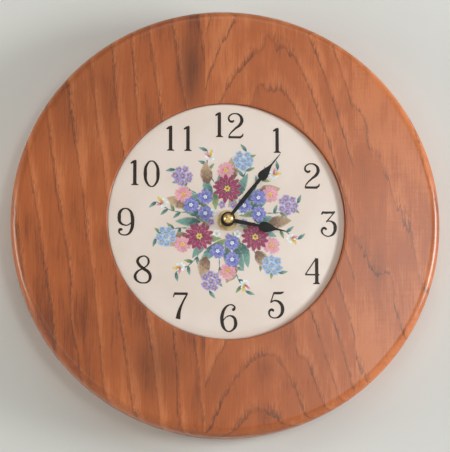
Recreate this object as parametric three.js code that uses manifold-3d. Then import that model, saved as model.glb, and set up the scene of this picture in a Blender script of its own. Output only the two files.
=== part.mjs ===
// Round wooden wall clock with a ceramic dial and a battery quartz movement.
// Millimetres, +Z up. The wall is the plane y = 0 and the dial faces -Y. The origin is the
// point on the wall where the hook's nail carries the sawtooth hanger.
import * as THREE from 'three';
import { mergeVertices } from 'three/addons/utils/BufferGeometryUtils.js';
import Module from 'manifold-3d';

const wasm = await Module();
wasm.setup();

// Panel: three glued boards, turned round, with a bore in front and a pocket behind
const panelDiameter = 279.4;
const panelThickness = 28.6;
const panelRoundover = 6.35;
const panelBackEase = 1.6;
const boreEase = 0.8;
const leftJointOffset = 14.4;
const rightJointOffset = 82.5;
const webThickness = 3.2;
const webHoleDiameter = 12;
const pocketCorner = 8;
const pocketClearance = 3;

// Ceramic dial
const dialDiameter = 152.4;
const dialThickness = 6;
const dialClearance = 1.1;
const dialSetback = 1.2;
const dialRollWidth = 5;
const dialRollDrop = 1.7;
const dialBackEase = 0.8;
const dialHoleClearance = 0.9;

// Sawtooth hanger, let into the back
const hookBelowRim = 31.7;
const hangerLength = 45;
const hangerHeight = 9;
const hangerThickness = 1;
const hangerStandoff = 1.6;
const hangerWallGap = 0.6;
const hangerTabLength = 9;
const hangerRampLength = 2;
const toothPitch = 3;
const toothDepth = 1.8;
const toothCount = 6;
const hangerRecessMargin = 3.5;
const hangerRecessDrop = 5;
const hangerRecessCorner = 4;
const nailShankDiameter = 1.4;
const nailHeadDiameter = 3.6;
const nailHeadHeight = 0.8;
const nailLength = 11;

// Clamping hardware on the threaded bush
const bushDiameter = 7.94;
const bushWall = 1.15;
const bushReach = 14;
const bushFlangeDiameter = 11;
const bushFlangeThickness = 0.6;
const rubberWasherDiameter = 24;
const rubberWasherThickness = 0.8;
const brassWasherDiameter = 13.4;
const brassWasherThickness = 0.8;
const nutAcrossFlats = 10;
const nutThickness = 2.2;
const nutChamfer = 0.5;

// Movement case
const caseWidth = 56;
const caseDepth = 16;
const caseCorner = 4;
const caseWall = 1.3;
const caseFloor = 1.4;
const coverThickness = 1.4;
const batteryWallRoom = 1.93;
const postDiameter = 3.2;
const midPlateThickness = 1.2;
const bossDiameter = 2.8;
const bossHeight = 1.2;
const knobDiameter = 11.2;
const knobThickness = 1.6;
const knobLobes = 20;
const knobLobeDepth = 0.5;
const knobWellMargin = 0.5;
const knobWellFloor = 1;
const fingerNotchWidth = 14;
const fingerNotchDepth = 7;

// Trains: teeth, the common module as a share of the case's width, arbors and collars
const cannonTeeth = 12;
const motionTeeth = 36;
const motionPinionTeeth = 10;
const hourTeeth = 40;
const trainModuleShare = 1 / 140;
const cannonModuleShare = 1.2;
const secondModuleShare = 1.05875;
const rotorTeeth = 6;
const intermediateTeeth = 36;
const intermediatePinionTeeth = 8;
const secondTeeth = 40;
const secondPinionTeeth = 6;
const thirdTeeth = 45;
const thirdPinionTeeth = 6;
const centreTeeth = 48;
const layerGap = 0.3;
const arborDiameter = 1;
const motionArborDiameter = 2;
const minuteArborDiameter = 3;
const minuteJournalDiameter = 1.8;
const clutchCollarDiameter = 3.2;
const clutchCollarThickness = 0.2;
const wheelHubDiameter = 4;

// Hour tube, hands and cap nut, with depths measured forward from the dial's face
const hourTubeWall = 0.7;
const hourTubeReach = 6.6;
const handThickness = 0.5;
const hourHandReach = 4.8;
const minuteHandReach = 8;
const handHubDiameter = 9.1;
const hourHandLength = 38.6;
const hourSpadeWidth = 6.9;
const hourArmWidth = 2.8;
const minuteHandLength = 53.6;
const minuteSpadeWidth = 6.2;
const minuteArmWidth = 2.9;
const handTipWidth = 0.5;
const colletFlangeDiameter = 8;
const colletTubeDiameter = 7;
const colletFlangeThickness = 0.6;
const colletLength = 2;
const arborFlatWidth = 1.7;
const arborThreadDiameter = 2.4;
const arborThreadReach = 2.4;
const capNutDiameter = 6.85;
const capNutHeight = 3.4;
const capNutRim = 1;

// Step motor, board and cell
const magnetDiameter = 5.8;
const rotorFlangeDiameter = 3.2;
const rotorFlangeThickness = 0.4;
const statorThickness = 0.8;
const statorRingDiameter = 9.8;
const statorAirGap = 0.5;
const statorArmWidth = 2.6;
const coilWallRoom = 7.2;
const coilTopRoom = 0.7;
const coilBoardRoom = 0.6;
const bobbinFlange = 0.8;
const bobbinWall = 0.5;
const boardThickness = 0.8;
const boardArborRoom = 1.48;
const boardTop = 6.4;
const boardMargin = 1.2;
const chipDiameter = 6;
const chipHeight = 1.1;
const crystalDiameter = 2;
const crystalLength = 6;
const cellEndRoom = 1.45;
const cellSideRoom = 0.2;
const cellNubDiameter = 5.4;
const cellNubHeight = 1.2;
const cellEdge = 0.8;
const cellFit = 0.3;
const contactThickness = 0.3;
const contactWidth = 3.6;

// Fits and mesh fineness
const seatGap = 0.3;
const cutOverrun = 1;
const mergeTolerance = 1e-5;
const panelFacets = 92;
const dialFacets = 60;
const smallFacets = 16;
const arcFacets = 5;
const easeFacets = 2;

// Angles, clockwise from 12 as seen from the front
const minuteHandAngle = THREE.MathUtils.degToRad(39.2);
const hourHandAngle = THREE.MathUtils.degToRad(102.5);
const motionDirection = THREE.MathUtils.degToRad(90);
const thirdDirection = THREE.MathUtils.degToRad(-45);
const secondDirection = THREE.MathUtils.degToRad(-70);
const intermediateDirection = THREE.MathUtils.degToRad(46);
const rotorDirection = THREE.MathUtils.degToRad(85);

// Layers of the trains, in shares of one layer's step, and the coil's parts
const motionLayers = 2;
const trainLayers = 5;
const layerLeadShare = 0.2;
const layerWheelShare = 0.56;
const layerPinionShare = 0.78;
const layerMagnetShare = 0.96;
const bobbinDepthShare = 0.4;
const coreWidthShare = 0.34;
const windingShare = 0.7;

// Tooth form in shares: of the tooth pitch for widths, of the module for heights
const wheelRootShare = 0.3;
const wheelTipShare = 0.1;
const wheelAddendumShare = 0.9;
const wheelDedendumShare = 1.1;
const leafRootShare = 0.15;
const leafPitchShare = 0.16;
const leafTipShare = 0.07;
const leafAddendumShare = 0.6;
const leafDedendumShare = 1.3;

// Depths from the wall, from the stack of parts
const panelRadius = panelDiameter / 2;
const hookHeight = panelRadius - hookBelowRim;
const boreRadius = dialDiameter / 2 + dialClearance;
const recessFloor = panelThickness - dialThickness - dialSetback;
const pocketDepth = recessFloor - webThickness;
const dialFace = recessFloor + dialThickness;
const caseFront = pocketDepth - rubberWasherThickness;
const hangerRecessDepth = hangerWallGap + hangerThickness + hangerStandoff;
const bushRadius = bushDiameter / 2;

// Layers inside the movement, measured back from the front of its case
const bushFlangeBack = caseFloor + bushFlangeThickness;
const coverFront = caseDepth - coverThickness;
const arborBack = coverFront - layerGap;
const layersDepth = coverFront - bossHeight - midPlateThickness - bushFlangeBack;
const layerStep = layersDepth / (motionLayers + trainLayers);
const wheelThickness = layerStep * layerWheelShare;
const pinionLength = layerStep * layerPinionShare;
const pinionLead = (pinionLength - wheelThickness) / 2;
const magnetThickness = layerStep * layerMagnetShare;
const midPlateFront = bushFlangeBack + motionLayers * layerStep;
const midPlateBack = midPlateFront + midPlateThickness;
const [hourWheelFront, motionWheelFront] = layerFronts(bushFlangeBack, motionLayers);
const [centreWheelFront, thirdWheelFront, secondWheelFront, statorFront, intermediateWheelFront] =
  layerFronts(midPlateBack, trainLayers);

function layerFronts(front, count) {
  return Array.from({ length: count }, (_, i) => front + layerStep * (i + layerLeadShare));
}

// Pitch distances and places of the arbors, seen from the front with the shaft at zero
const trainModule = caseWidth * trainModuleShare;
const cannonModule = trainModule * cannonModuleShare;
const secondModule = trainModule * secondModuleShare;
const motionDistance = cannonModule * (cannonTeeth + motionTeeth) / 2;
const hourModule = 2 * motionDistance / (motionPinionTeeth + hourTeeth);
const thirdDistance = trainModule * (centreTeeth + thirdPinionTeeth) / 2;
const secondDistance = secondModule * (thirdTeeth + secondPinionTeeth) / 2;
const intermediateDistance = trainModule * (secondTeeth + intermediatePinionTeeth) / 2;
const rotorDistance = trainModule * (intermediateTeeth + rotorTeeth) / 2;
const shaftPlace = new THREE.Vector2(0, 0);
const motionPlace = stepFrom(shaftPlace, motionDirection, motionDistance);
const thirdPlace = stepFrom(shaftPlace, thirdDirection, thirdDistance);
const secondPlace = stepFrom(thirdPlace, secondDirection, secondDistance);
const intermediatePlace = stepFrom(secondPlace, intermediateDirection, intermediateDistance);
const rotorPlace = stepFrom(intermediatePlace, rotorDirection, rotorDistance);
const trainPlaces = [thirdPlace, secondPlace, intermediatePlace, rotorPlace];

// A place on the plane of the dial, at a clockwise angle from 12
function stepFrom(place, direction, distance) {
  return new THREE.Vector2(
    place.x + distance * Math.sin(direction),
    place.y + distance * Math.cos(direction),
  );
}

// Solids and meshes
function solidOf(geometry) {
  const bare = geometry.clone();
  bare.deleteAttribute('normal');
  bare.deleteAttribute('uv');
  const merged = mergeVertices(bare, mergeTolerance);
  const corners = merged.index.array;
  const faces = [];
  for (let i = 0; i < corners.length; i += 3) {
    const [a, b, c] = corners.slice(i, i + 3);
    if (a !== b && b !== c && c !== a) faces.push(a, b, c);
  }
  return new wasm.Manifold(new wasm.Mesh({
    numProp: 3,
    vertProperties: Float32Array.from(merged.attributes.position.array),
    triVerts: Uint32Array.from(faces),
  }));
}

function geometryOf(solid) {
  const mesh = solid.getMesh();
  const geometry = new THREE.BufferGeometry();
  geometry.setAttribute('position', new THREE.BufferAttribute(mesh.vertProperties, 3));
  geometry.setIndex(new THREE.BufferAttribute(mesh.triVerts, 1));
  geometry.computeVertexNormals();
  return geometry;
}

function join(...geometries) {
  return geometryOf(geometries.map(solidOf).reduce((whole, next) => whole.add(next)));
}

function cut(geometry, ...tools) {
  return geometryOf(tools.map(solidOf).reduce((rest, tool) => rest.subtract(tool), solidOf(geometry)));
}

function common(geometry, tool) {
  return geometryOf(solidOf(geometry).intersect(solidOf(tool)));
}

function piece(name, geometry, color, roughness, metalness) {
  const mesh = new THREE.Mesh(geometry, new THREE.MeshStandardMaterial({ color, roughness, metalness }));
  mesh.name = name;
  return mesh;
}

// A flat outline drawn as seen from the front, from depth y = front back to y = front + thickness
function plate(outline, front, thickness, curveSegments = smallFacets) {
  const geometry = new THREE.ExtrudeGeometry(outline, {
    depth: thickness,
    bevelEnabled: false,
    curveSegments,
  });
  geometry.rotateX(Math.PI / 2);
  geometry.translate(0, front + thickness, 0);
  return geometry;
}

// A solid turned about the Y axis from [radius, y] pairs that run anticlockwise
function turned(profile, facets = smallFacets) {
  return new THREE.LatheGeometry(profile.map(([radius, y]) => new THREE.Vector2(radius, y)), facets);
}

function disc(radius, front, thickness, facets = smallFacets) {
  const back = front + thickness;
  return turned([[0, front], [radius, front], [radius, back], [0, back]], facets);
}

function ring(outer, inner, front, thickness, facets = smallFacets) {
  const back = front + thickness;
  return turned([[inner, front], [outer, front], [outer, back], [inner, back], [inner, front]], facets);
}

// A disc with two flats, as the arbor has where the minute hand sits
function flattedDisc(radius, flatWidth, front, thickness) {
  const band = rectangle(-flatWidth / 2, flatWidth / 2, -radius - cutOverrun, radius + cutOverrun);
  const slab = plate(band, front - cutOverrun, thickness + 2 * cutOverrun);
  return common(disc(radius, front, thickness), slab);
}

function shifted(geometry, place) {
  return geometry.clone().translate(place.x, 0, place.y);
}

// Points of a quarter arc from one angle to another
function arcPoints(centreX, centreY, radiusX, radiusY, from, to, steps = arcFacets) {
  const points = [];
  for (let i = 0; i <= steps; i += 1) {
    const angle = from + (to - from) * i / steps;
    points.push([centreX + radiusX * Math.cos(angle), centreY + radiusY * Math.sin(angle)]);
  }
  return points;
}

function roundedRectangle(left, right, bottom, top, corner) {
  const shape = new THREE.Shape();
  shape.moveTo(left + corner, bottom);
  shape.lineTo(right - corner, bottom);
  shape.absarc(right - corner, bottom + corner, corner, -Math.PI / 2, 0);
  shape.lineTo(right, top - corner);
  shape.absarc(right - corner, top - corner, corner, 0, Math.PI / 2);
  shape.lineTo(left + corner, top);
  shape.absarc(left + corner, top - corner, corner, Math.PI / 2, Math.PI);
  shape.lineTo(left, bottom + corner);
  shape.absarc(left + corner, bottom + corner, corner, Math.PI, 3 * Math.PI / 2);
  return shape;
}

function rectangle(left, right, bottom, top) {
  const corners = [[left, bottom], [right, bottom], [right, top], [left, top]];
  return new THREE.Shape(corners.map(([x, y]) => new THREE.Vector2(x, y)));
}

// A bar of a given width between two places
function bar(from, to, width) {
  const along = to.clone().sub(from).normalize().multiplyScalar(width / 2);
  const across = new THREE.Vector2(-along.y, along.x);
  return new THREE.Shape([
    from.clone().sub(across).sub(along),
    to.clone().sub(across).add(along),
    to.clone().add(across).add(along),
    from.clone().add(across).sub(along),
  ]);
}

// A bent strip of even thickness along a chain of places
function stripOutline(places, thickness) {
  const sides = [[], []];
  places.forEach((place, i) => {
    const before = place.clone().sub(places[Math.max(i - 1, 0)]).normalize();
    const after = places[Math.min(i + 1, places.length - 1)].clone().sub(place).normalize();
    const along = before.clone().add(after).normalize();
    const normal = new THREE.Vector2(-along.y, along.x);
    const lead = i > 0 ? before : after;
    const reach = thickness / 2 / (normal.x * -lead.y + normal.y * lead.x);
    sides[0].push(place.clone().addScaledVector(normal, -reach));
    sides[1].unshift(place.clone().addScaledVector(normal, reach));
  });
  return new THREE.Shape([...sides[0], ...sides[1]]);
}

// Toothed wheels: each tooth is a formula of the pitch and the module
// from [width, height] pairs, half a tooth wide and from its root to its tip
const wheelForm = [
  [wheelRootShare, -wheelDedendumShare],
  [wheelTipShare, wheelAddendumShare],
];
const leafForm = [
  [leafRootShare, -leafDedendumShare],
  [leafPitchShare, 0],
  [leafTipShare, leafAddendumShare],
];

function toothedOutline(teeth, module, form) {
  const pitchAngle = 2 * Math.PI / teeth;
  const pitchRadius = module * teeth / 2;
  const rising = form.map(([width, height]) => [-width, height]);
  const falling = [...form].reverse();
  const points = [];
  for (let tooth = 0; tooth < teeth; tooth += 1) {
    for (const [width, height] of [...rising, ...falling]) {
      points.push(stepFrom(shaftPlace, pitchAngle * (tooth + width), pitchRadius + module * height));
    }
  }
  return new THREE.Shape(points);
}

function wheel(teeth, module, front) {
  return plate(toothedOutline(teeth, module, wheelForm), front, wheelThickness);
}

function pinion(teeth, module, front) {
  return plate(toothedOutline(teeth, module, leafForm), front, pinionLength);
}

// The turn that puts a gear in mesh with one that is already placed
function meshTurn(drivingTurn, drivingTeeth, drivenTeeth, direction) {
  const drivingPitch = 2 * Math.PI / drivingTeeth;
  const drivenPitch = 2 * Math.PI / drivenTeeth;
  const share = (direction - drivingTurn) / drivingPitch;
  return direction + Math.PI - drivenPitch * (1 / 2 - share);
}

// The turned panel and its three boards
function panelGeometry() {
  const quarter = Math.PI / 2;
  const hole = webHoleDiameter / 2;
  const profile = [
    [hole, -recessFloor],
    [boreRadius, -recessFloor],
    ...arcPoints(boreRadius + boreEase, boreEase - panelThickness, boreEase, boreEase,
      2 * quarter, 3 * quarter, easeFacets),
    ...arcPoints(panelRadius - panelRoundover, panelRoundover - panelThickness,
      panelRoundover, panelRoundover, -quarter, 0),
    ...arcPoints(panelRadius - panelBackEase, -panelBackEase, panelBackEase, panelBackEase,
      0, quarter, easeFacets),
    [hole, 0],
    [hole, -recessFloor],
  ];
  const half = caseWidth / 2 + pocketClearance;
  const pocket = plate(roundedRectangle(-half, half, -half, half, pocketCorner),
    -pocketDepth, pocketDepth + cutOverrun, arcFacets);
  return cut(turned(profile, panelFacets), pocket, hangerRecess(), ...nailHoles());
}

function hangerRecess() {
  const halfWidth = hangerLength / 2 + hangerRecessMargin;
  const outline = roundedRectangle(-halfWidth, halfWidth, hookHeight - hangerRecessDrop - toothDepth,
    hookHeight + hangerHeight - toothDepth + hangerRecessMargin, hangerRecessCorner);
  return plate(outline, -hangerRecessDepth, hangerRecessDepth + cutOverrun, arcFacets);
}

function nailPlaces() {
  const offset = (hangerLength - hangerTabLength) / 2;
  const height = hookHeight + hangerHeight / 2 - toothDepth;
  return [-1, 1].map((side) => new THREE.Vector2(side * offset, height));
}

function nailHoles() {
  const radius = nailShankDiameter / 2 + seatGap;
  const tip = hangerRecessDepth + nailLength + seatGap;
  return nailPlaces().map((place) => shifted(disc(radius, -tip, tip, smallFacets / 2), place));
}

function boards() {
  const panel = panelGeometry();
  const reach = panelRadius + cutOverrun;
  const limits = [-reach, -leftJointOffset, rightJointOffset, reach];
  return ['board_left', 'board_centre', 'board_right'].map((name, i) => {
    const slab = plate(rectangle(limits[i], limits[i + 1], -reach, reach),
      -panelThickness - cutOverrun, panelThickness + 2 * cutOverrun);
    return piece(name, common(panel, slab), 0xa8684a, 0.5, 0);
  });
}

// The dial: a ring with a rolled front edge
function dial() {
  const radius = dialDiameter / 2;
  const hole = bushRadius + dialHoleClearance;
  const quarter = Math.PI / 2;
  const profile = [
    [hole, 0],
    ...arcPoints(radius - dialRollWidth, dialRollDrop, dialRollWidth, dialRollDrop, -quarter, 0),
    [radius, dialThickness - dialBackEase],
    [radius - dialBackEase, dialThickness],
    [hole, dialThickness],
    [hole, 0],
  ];
  const mesh = piece('dial', turned(profile, dialFacets), 0xeee4d6, 0.18, 0);
  mesh.position.y = -dialFace;
  return mesh;
}

// The hanger: a strip bent off the recess floor between its nailed tabs, with a toothed lower edge
function hangerOutline() {
  const halfLength = hangerLength / 2;
  const bottom = -toothDepth;
  const top = hangerHeight - toothDepth;
  const toothedHalf = toothPitch * toothCount / 2;
  const points = [[-halfLength, top], [-halfLength, bottom], [-toothedHalf - toothPitch / 2, bottom]];
  for (let i = 0; i <= toothCount; i += 1) {
    const x = toothPitch * i - toothedHalf;
    points.push([x, 0]);
    points.push([x + toothPitch / 2, bottom]);
  }
  points.push([halfLength, bottom], [halfLength, top]);
  const shape = new THREE.Shape(points.map(([x, y]) => new THREE.Vector2(x, y)));
  for (const place of nailPlaces()) {
    const hole = new THREE.Path();
    hole.absarc(place.x, place.y - hookHeight, nailShankDiameter / 2 + seatGap, 0, 2 * Math.PI, true);
    shape.holes.push(hole);
  }
  return shape;
}

function hangerGeometry() {
  const halfLength = hangerLength / 2;
  const bendOuter = halfLength - hangerTabLength;
  const bendInner = bendOuter - hangerRampLength;
  const low = hangerThickness / 2 - hangerRecessDepth;
  const high = low + hangerStandoff;
  const sideways = [[-halfLength, low], [-bendOuter, low], [-bendInner, high],
    [bendInner, high], [bendOuter, low], [halfLength, low]];
  const bend = new THREE.ExtrudeGeometry(
    stripOutline(sideways.map(([x, y]) => new THREE.Vector2(x, y)), hangerThickness),
    { depth: 2 * hangerHeight, bevelEnabled: false },
  );
  bend.translate(0, 0, -hangerHeight);
  return common(bend, plate(hangerOutline(), -hangerRecessDepth - cutOverrun,
    hangerRecessDepth + 2 * cutOverrun, arcFacets));
}

function nailGeometry() {
  const shank = nailShankDiameter / 2;
  const head = nailHeadDiameter / 2;
  return turned([
    [0, -nailLength - hangerThickness],
    [shank, -nailLength],
    [shank, 0],
    [head, 0],
    ...arcPoints(0, 0, head, nailHeadHeight, Math.PI / arcFacets / 2, Math.PI / 2),
  ], smallFacets / 2);
}

function hanger() {
  const group = new THREE.Group();
  group.add(piece('sawtooth_hanger', hangerGeometry(), 0xb9bcc0, 0.35, 1));
  nailPlaces().forEach((place, i) => {
    const nail = piece(['hanger_nail_left', 'hanger_nail_right'][i], nailGeometry(), 0xc8a860, 0.3, 1);
    nail.position.set(place.x, hangerThickness - hangerRecessDepth, place.y - hookHeight);
    group.add(nail);
  });
  return group;
}

// Washers and nut that clamp dial and panel to the movement
function nutGeometry() {
  const cornerRadius = nutAcrossFlats / Math.sqrt(3);
  const flat = nutAcrossFlats / 2;
  const hexagon = new THREE.Shape();
  const corners = 6;
  for (let i = 0; i < corners; i += 1) {
    const corner = stepFrom(shaftPlace, 2 * Math.PI * i / corners, cornerRadius);
    if (i === 0) hexagon.moveTo(corner.x, corner.y);
    else hexagon.lineTo(corner.x, corner.y);
  }
  const chamfered = turned([
    [0, 0],
    [flat, 0],
    [flat + nutChamfer * 2, nutChamfer],
    [flat + nutChamfer * 2, nutThickness],
    [0, nutThickness],
  ]);
  const bore = disc(bushRadius + seatGap, -cutOverrun, nutThickness + 2 * cutOverrun);
  return cut(common(plate(hexagon, 0, nutThickness), chamfered), bore);
}

function hardware() {
  const group = new THREE.Group();
  const bore = bushRadius + seatGap;
  const rubber = piece('rubber_washer', ring(rubberWasherDiameter / 2, bore, 0, rubberWasherThickness),
    0x1b1b1b, 0.9, 0);
  rubber.position.y = -pocketDepth;
  const washer = piece('brass_washer', ring(brassWasherDiameter / 2, bore, 0, brassWasherThickness),
    0xc9a15a, 0.3, 1);
  washer.position.y = -dialFace - brassWasherThickness;
  const nut = piece('hex_nut', nutGeometry(), 0xc9a15a, 0.3, 1);
  nut.position.y = washer.position.y - nutThickness;
  group.add(rubber, washer, nut);
  return group;
}

// Places inside the movement, seen from the front with the shaft at zero
const caseHalf = caseWidth / 2;
const chamberSide = caseHalf - caseWall;
const motionWheelReach = cannonModule * (motionTeeth / 2 + wheelAddendumShare);
const cellWallTop = -motionWheelReach - batteryWallRoom;
const cellWallBottom = cellWallTop - caseWall;
const cellDiameter = chamberSide + cellWallBottom - cellSideRoom;
const cellLength = 2 * (chamberSide - cellEndRoom);
const chamberFloor = cellWallTop;
const cellPlace = new THREE.Vector2(0, (cellWallBottom - chamberSide) / 2);
const cellCentreDepth = caseFloor + cellFit + cellDiameter / 2;
const contactFront = midPlateBack + boardThickness + seatGap;
const wallContactX = chamberSide - contactThickness / 2;
const knobWellRadius = knobDiameter / 2 + knobWellMargin;
const knobFront = caseDepth - knobThickness;
const knobWellFront = knobFront - layerGap - knobWellFloor;
const arborHoleRadius = arborDiameter / 2 + seatGap;

function frontCase() {
  const outline = roundedRectangle(-caseHalf, caseHalf, -caseHalf, caseHalf, caseCorner);
  const block = plate(outline, 0, caseDepth, arcFacets);
  const deep = caseDepth - caseFloor + cutOverrun;
  const inner = caseCorner - caseWall;
  const chamber = plate(roundedRectangle(-chamberSide, chamberSide, chamberFloor, chamberSide, inner),
    caseFloor, deep, arcFacets);
  const bay = plate(roundedRectangle(-chamberSide, chamberSide, -chamberSide, cellWallBottom, inner),
    caseFloor, deep, arcFacets);
  const squareEnds = [[chamberFloor, 0], [cellPlace.y, cellWallBottom]].map(([bottom, top]) => plate(
    rectangle(-chamberSide, chamberSide, bottom, top), caseFloor, deep));
  const wide = caseHalf + cutOverrun;
  const coverSeat = plate(rectangle(-wide, wide, cellWallTop - caseWall / 2 - seatGap, wide),
    coverFront, coverThickness + cutOverrun);
  const notches = [-1, 1].map((side) => {
    const middle = side * wallContactX;
    const half = contactThickness / 2 + seatGap;
    const slot = rectangle(middle - half, middle + half,
      cellWallBottom - cutOverrun, cellWallTop + cutOverrun);
    return plate(slot, contactFront - seatGap, caseDepth);
  });
  const fingerOutline = rectangle(-fingerNotchWidth / 2, fingerNotchWidth / 2,
    -caseHalf - cutOverrun, -chamberSide + cutOverrun);
  const fingerNotch = plate(fingerOutline, caseDepth - fingerNotchDepth, fingerNotchDepth + cutOverrun);
  const bushHole = disc(bushRadius + seatGap, -cutOverrun, caseFloor + 2 * cutOverrun);
  const motionPivot = shifted(disc(arborHoleRadius, caseFloor / 2, caseFloor), motionPlace);
  const shell = cut(block, chamber, bay, ...squareEnds, coverSeat, ...notches, fingerNotch, bushHole,
    motionPivot);
  const posts = postPlaces().map((place) => shifted(
    disc(postDiameter / 2, caseFloor / 2, midPlateFront - caseFloor / 2, smallFacets / 2), place));
  return piece('front_case', join(shell, ...posts), 0x1d1d1f, 0.55, 0);
}

function postPlaces() {
  const side = chamberSide - postDiameter;
  const top = chamberSide - postDiameter;
  const bottom = chamberFloor + postDiameter;
  const corners = [[-side, bottom], [side, bottom], [-side, top], [side, top]];
  return corners.map(([x, y]) => new THREE.Vector2(x, y));
}

function midPlate() {
  const side = chamberSide - seatGap;
  const outline = roundedRectangle(-side, side, chamberFloor + seatGap, side, caseCorner - caseWall);
  const depth = midPlateThickness + 2 * cutOverrun;
  const front = midPlateFront - cutOverrun;
  const pivotHole = disc(arborHoleRadius, front, depth, smallFacets / 2);
  const holes = trainPlaces.map((place) => shifted(pivotHole, place));
  holes.push(disc(minuteJournalDiameter / 2 + seatGap, front, depth));
  holes.push(shifted(disc(motionArborDiameter / 2 + seatGap, front, depth), motionPlace));
  return piece('mid_plate', cut(plate(outline, midPlateFront, midPlateThickness, arcFacets), ...holes),
    0xd8d4c8, 0.5, 0);
}

function backCover() {
  const outline = roundedRectangle(-caseHalf, caseHalf, cellWallTop - caseWall / 2, caseHalf, caseCorner);
  const bossFront = coverFront - bossHeight;
  const boss = disc(bossDiameter / 2, bossFront, bossHeight + coverThickness / 2, smallFacets / 2);
  const pivotHole = disc(arborHoleRadius, bossFront - cutOverrun, bossHeight + cutOverrun, smallFacets / 2);
  const knobWell = disc(knobWellRadius, knobWellFront + knobWellFloor, caseDepth);
  const knobHole = disc(motionArborDiameter / 2 + seatGap, knobWellFront - cutOverrun, caseDepth);
  const wellWall = disc(knobWellRadius + knobWellFloor, knobWellFront, caseDepth - knobWellFront);
  const bosses = [shaftPlace, ...trainPlaces].map((place) => shifted(boss, place));
  const holes = [shaftPlace, ...trainPlaces].map((place) => shifted(pivotHole, place));
  holes.push(shifted(knobWell, motionPlace), shifted(knobHole, motionPlace));
  const cover = plate(outline, coverFront, coverThickness, arcFacets);
  const solid = join(cover, shifted(wellWall, motionPlace), ...bosses);
  return piece('back_cover', cut(solid, ...holes), 0x1d1d1f, 0.55, 0);
}

function threadedBush() {
  const bore = bushRadius - bushWall;
  const profile = [
    [bore, -bushReach],
    [bushRadius, -bushReach],
    [bushRadius, caseFloor],
    [bushFlangeDiameter / 2, caseFloor],
    [bushFlangeDiameter / 2, bushFlangeBack],
    [bore, bushFlangeBack],
    [bore, -bushReach],
  ];
  return piece('threaded_bush', turned(profile), 0xc9a15a, 0.3, 1);
}

// Motion works: cannon pinion, motion wheel and hour wheel
const dialReach = dialFace - caseFront;
const hourTubeRadius = bushRadius - bushWall - seatGap;
const hourTubeBore = hourTubeRadius - hourTubeWall;
const minuteArborRadius = Math.min(minuteArborDiameter / 2, hourTubeBore - seatGap);
const minuteHandFront = -dialReach - minuteHandReach - handThickness;
const motionTurn = meshTurn(minuteHandAngle, cannonTeeth, motionTeeth, motionDirection);
const hourTurn = meshTurn(motionTurn, motionPinionTeeth, hourTeeth, motionDirection + Math.PI);

function minuteArbor() {
  const journal = minuteJournalDiameter / 2;
  const thread = arborThreadDiameter / 2;
  const pivot = arborDiameter / 2;
  const handBack = minuteHandFront + handThickness;
  const collarFront = centreWheelFront + wheelThickness;
  const collarBack = collarFront + clutchCollarThickness;
  const shaft = turned([
    [0, handBack],
    [minuteArborRadius, handBack],
    [minuteArborRadius, motionWheelFront],
    [journal, motionWheelFront],
    [journal, collarFront],
    [clutchCollarDiameter / 2, collarFront],
    [clutchCollarDiameter / 2, collarBack],
    [pivot, collarBack],
    [pivot, arborBack],
    [0, arborBack],
  ]);
  const leaves = pinion(cannonTeeth, cannonModule, motionWheelFront - pinionLead);
  const flats = flattedDisc(thread, arborFlatWidth, minuteHandFront - seatGap, handThickness + 2 * seatGap);
  const tip = disc(thread, minuteHandFront - arborThreadReach, arborThreadReach - seatGap / 2);
  const mesh = piece('minute_arbor', join(shaft, leaves, flats, tip), 0xb8bcc2, 0.3, 1);
  mesh.rotation.y = minuteHandAngle;
  return mesh;
}

function hourWheel() {
  const tube = ring(hourTubeRadius, hourTubeBore, -dialReach - hourTubeReach,
    dialReach + hourTubeReach + hourWheelFront + wheelThickness);
  const bore = disc(hourTubeBore, hourWheelFront - cutOverrun, wheelThickness + 2 * cutOverrun);
  const teeth = wheel(hourTeeth, hourModule, hourWheelFront);
  const mesh = piece('hour_wheel', join(tube, cut(teeth, bore)), 0xd9b56a, 0.35, 1);
  mesh.rotation.y = hourTurn;
  return mesh;
}

function motionWheel() {
  const radius = motionArborDiameter / 2;
  const pivot = arborDiameter / 2;
  const arbor = turned([
    [0, caseFloor / 2 + layerGap],
    [pivot, caseFloor / 2 + layerGap],
    [pivot, caseFloor + layerGap],
    [radius, caseFloor + layerGap],
    [radius, caseDepth - layerGap],
    [0, caseDepth - layerGap],
  ]);
  const leaves = pinion(motionPinionTeeth, hourModule, hourWheelFront - pinionLead);
  const teeth = wheel(motionTeeth, cannonModule, motionWheelFront);
  const mesh = piece('motion_wheel', join(arbor, leaves, teeth), 0xe6e2d6, 0.45, 0);
  mesh.position.set(motionPlace.x, 0, motionPlace.y);
  mesh.rotation.y = motionTurn;
  return mesh;
}

function settingKnob() {
  const radius = knobDiameter / 2;
  const points = [];
  for (let i = 0; i < 2 * knobLobes; i += 1) {
    points.push(stepFrom(shaftPlace, Math.PI * i / knobLobes, radius - knobLobeDepth * (i % 2)));
  }
  const bore = disc(motionArborDiameter / 2 + seatGap, -cutOverrun, knobThickness + 2 * cutOverrun);
  const mesh = piece('setting_knob', cut(plate(new THREE.Shape(points), 0, knobThickness), bore),
    0xe6e2d6, 0.5, 0);
  mesh.position.set(motionPlace.x, knobFront, motionPlace.y);
  return mesh;
}

// Going train, from the centre wheel back to the rotor
const thirdTurn = meshTurn(0, centreTeeth, thirdPinionTeeth, thirdDirection);
const secondTurn = meshTurn(thirdTurn, thirdTeeth, secondPinionTeeth, secondDirection);
const intermediateTurn = meshTurn(secondTurn, secondTeeth, intermediatePinionTeeth, intermediateDirection);
const rotorTurn = meshTurn(intermediateTurn, intermediateTeeth, rotorTeeth, rotorDirection);

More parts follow.
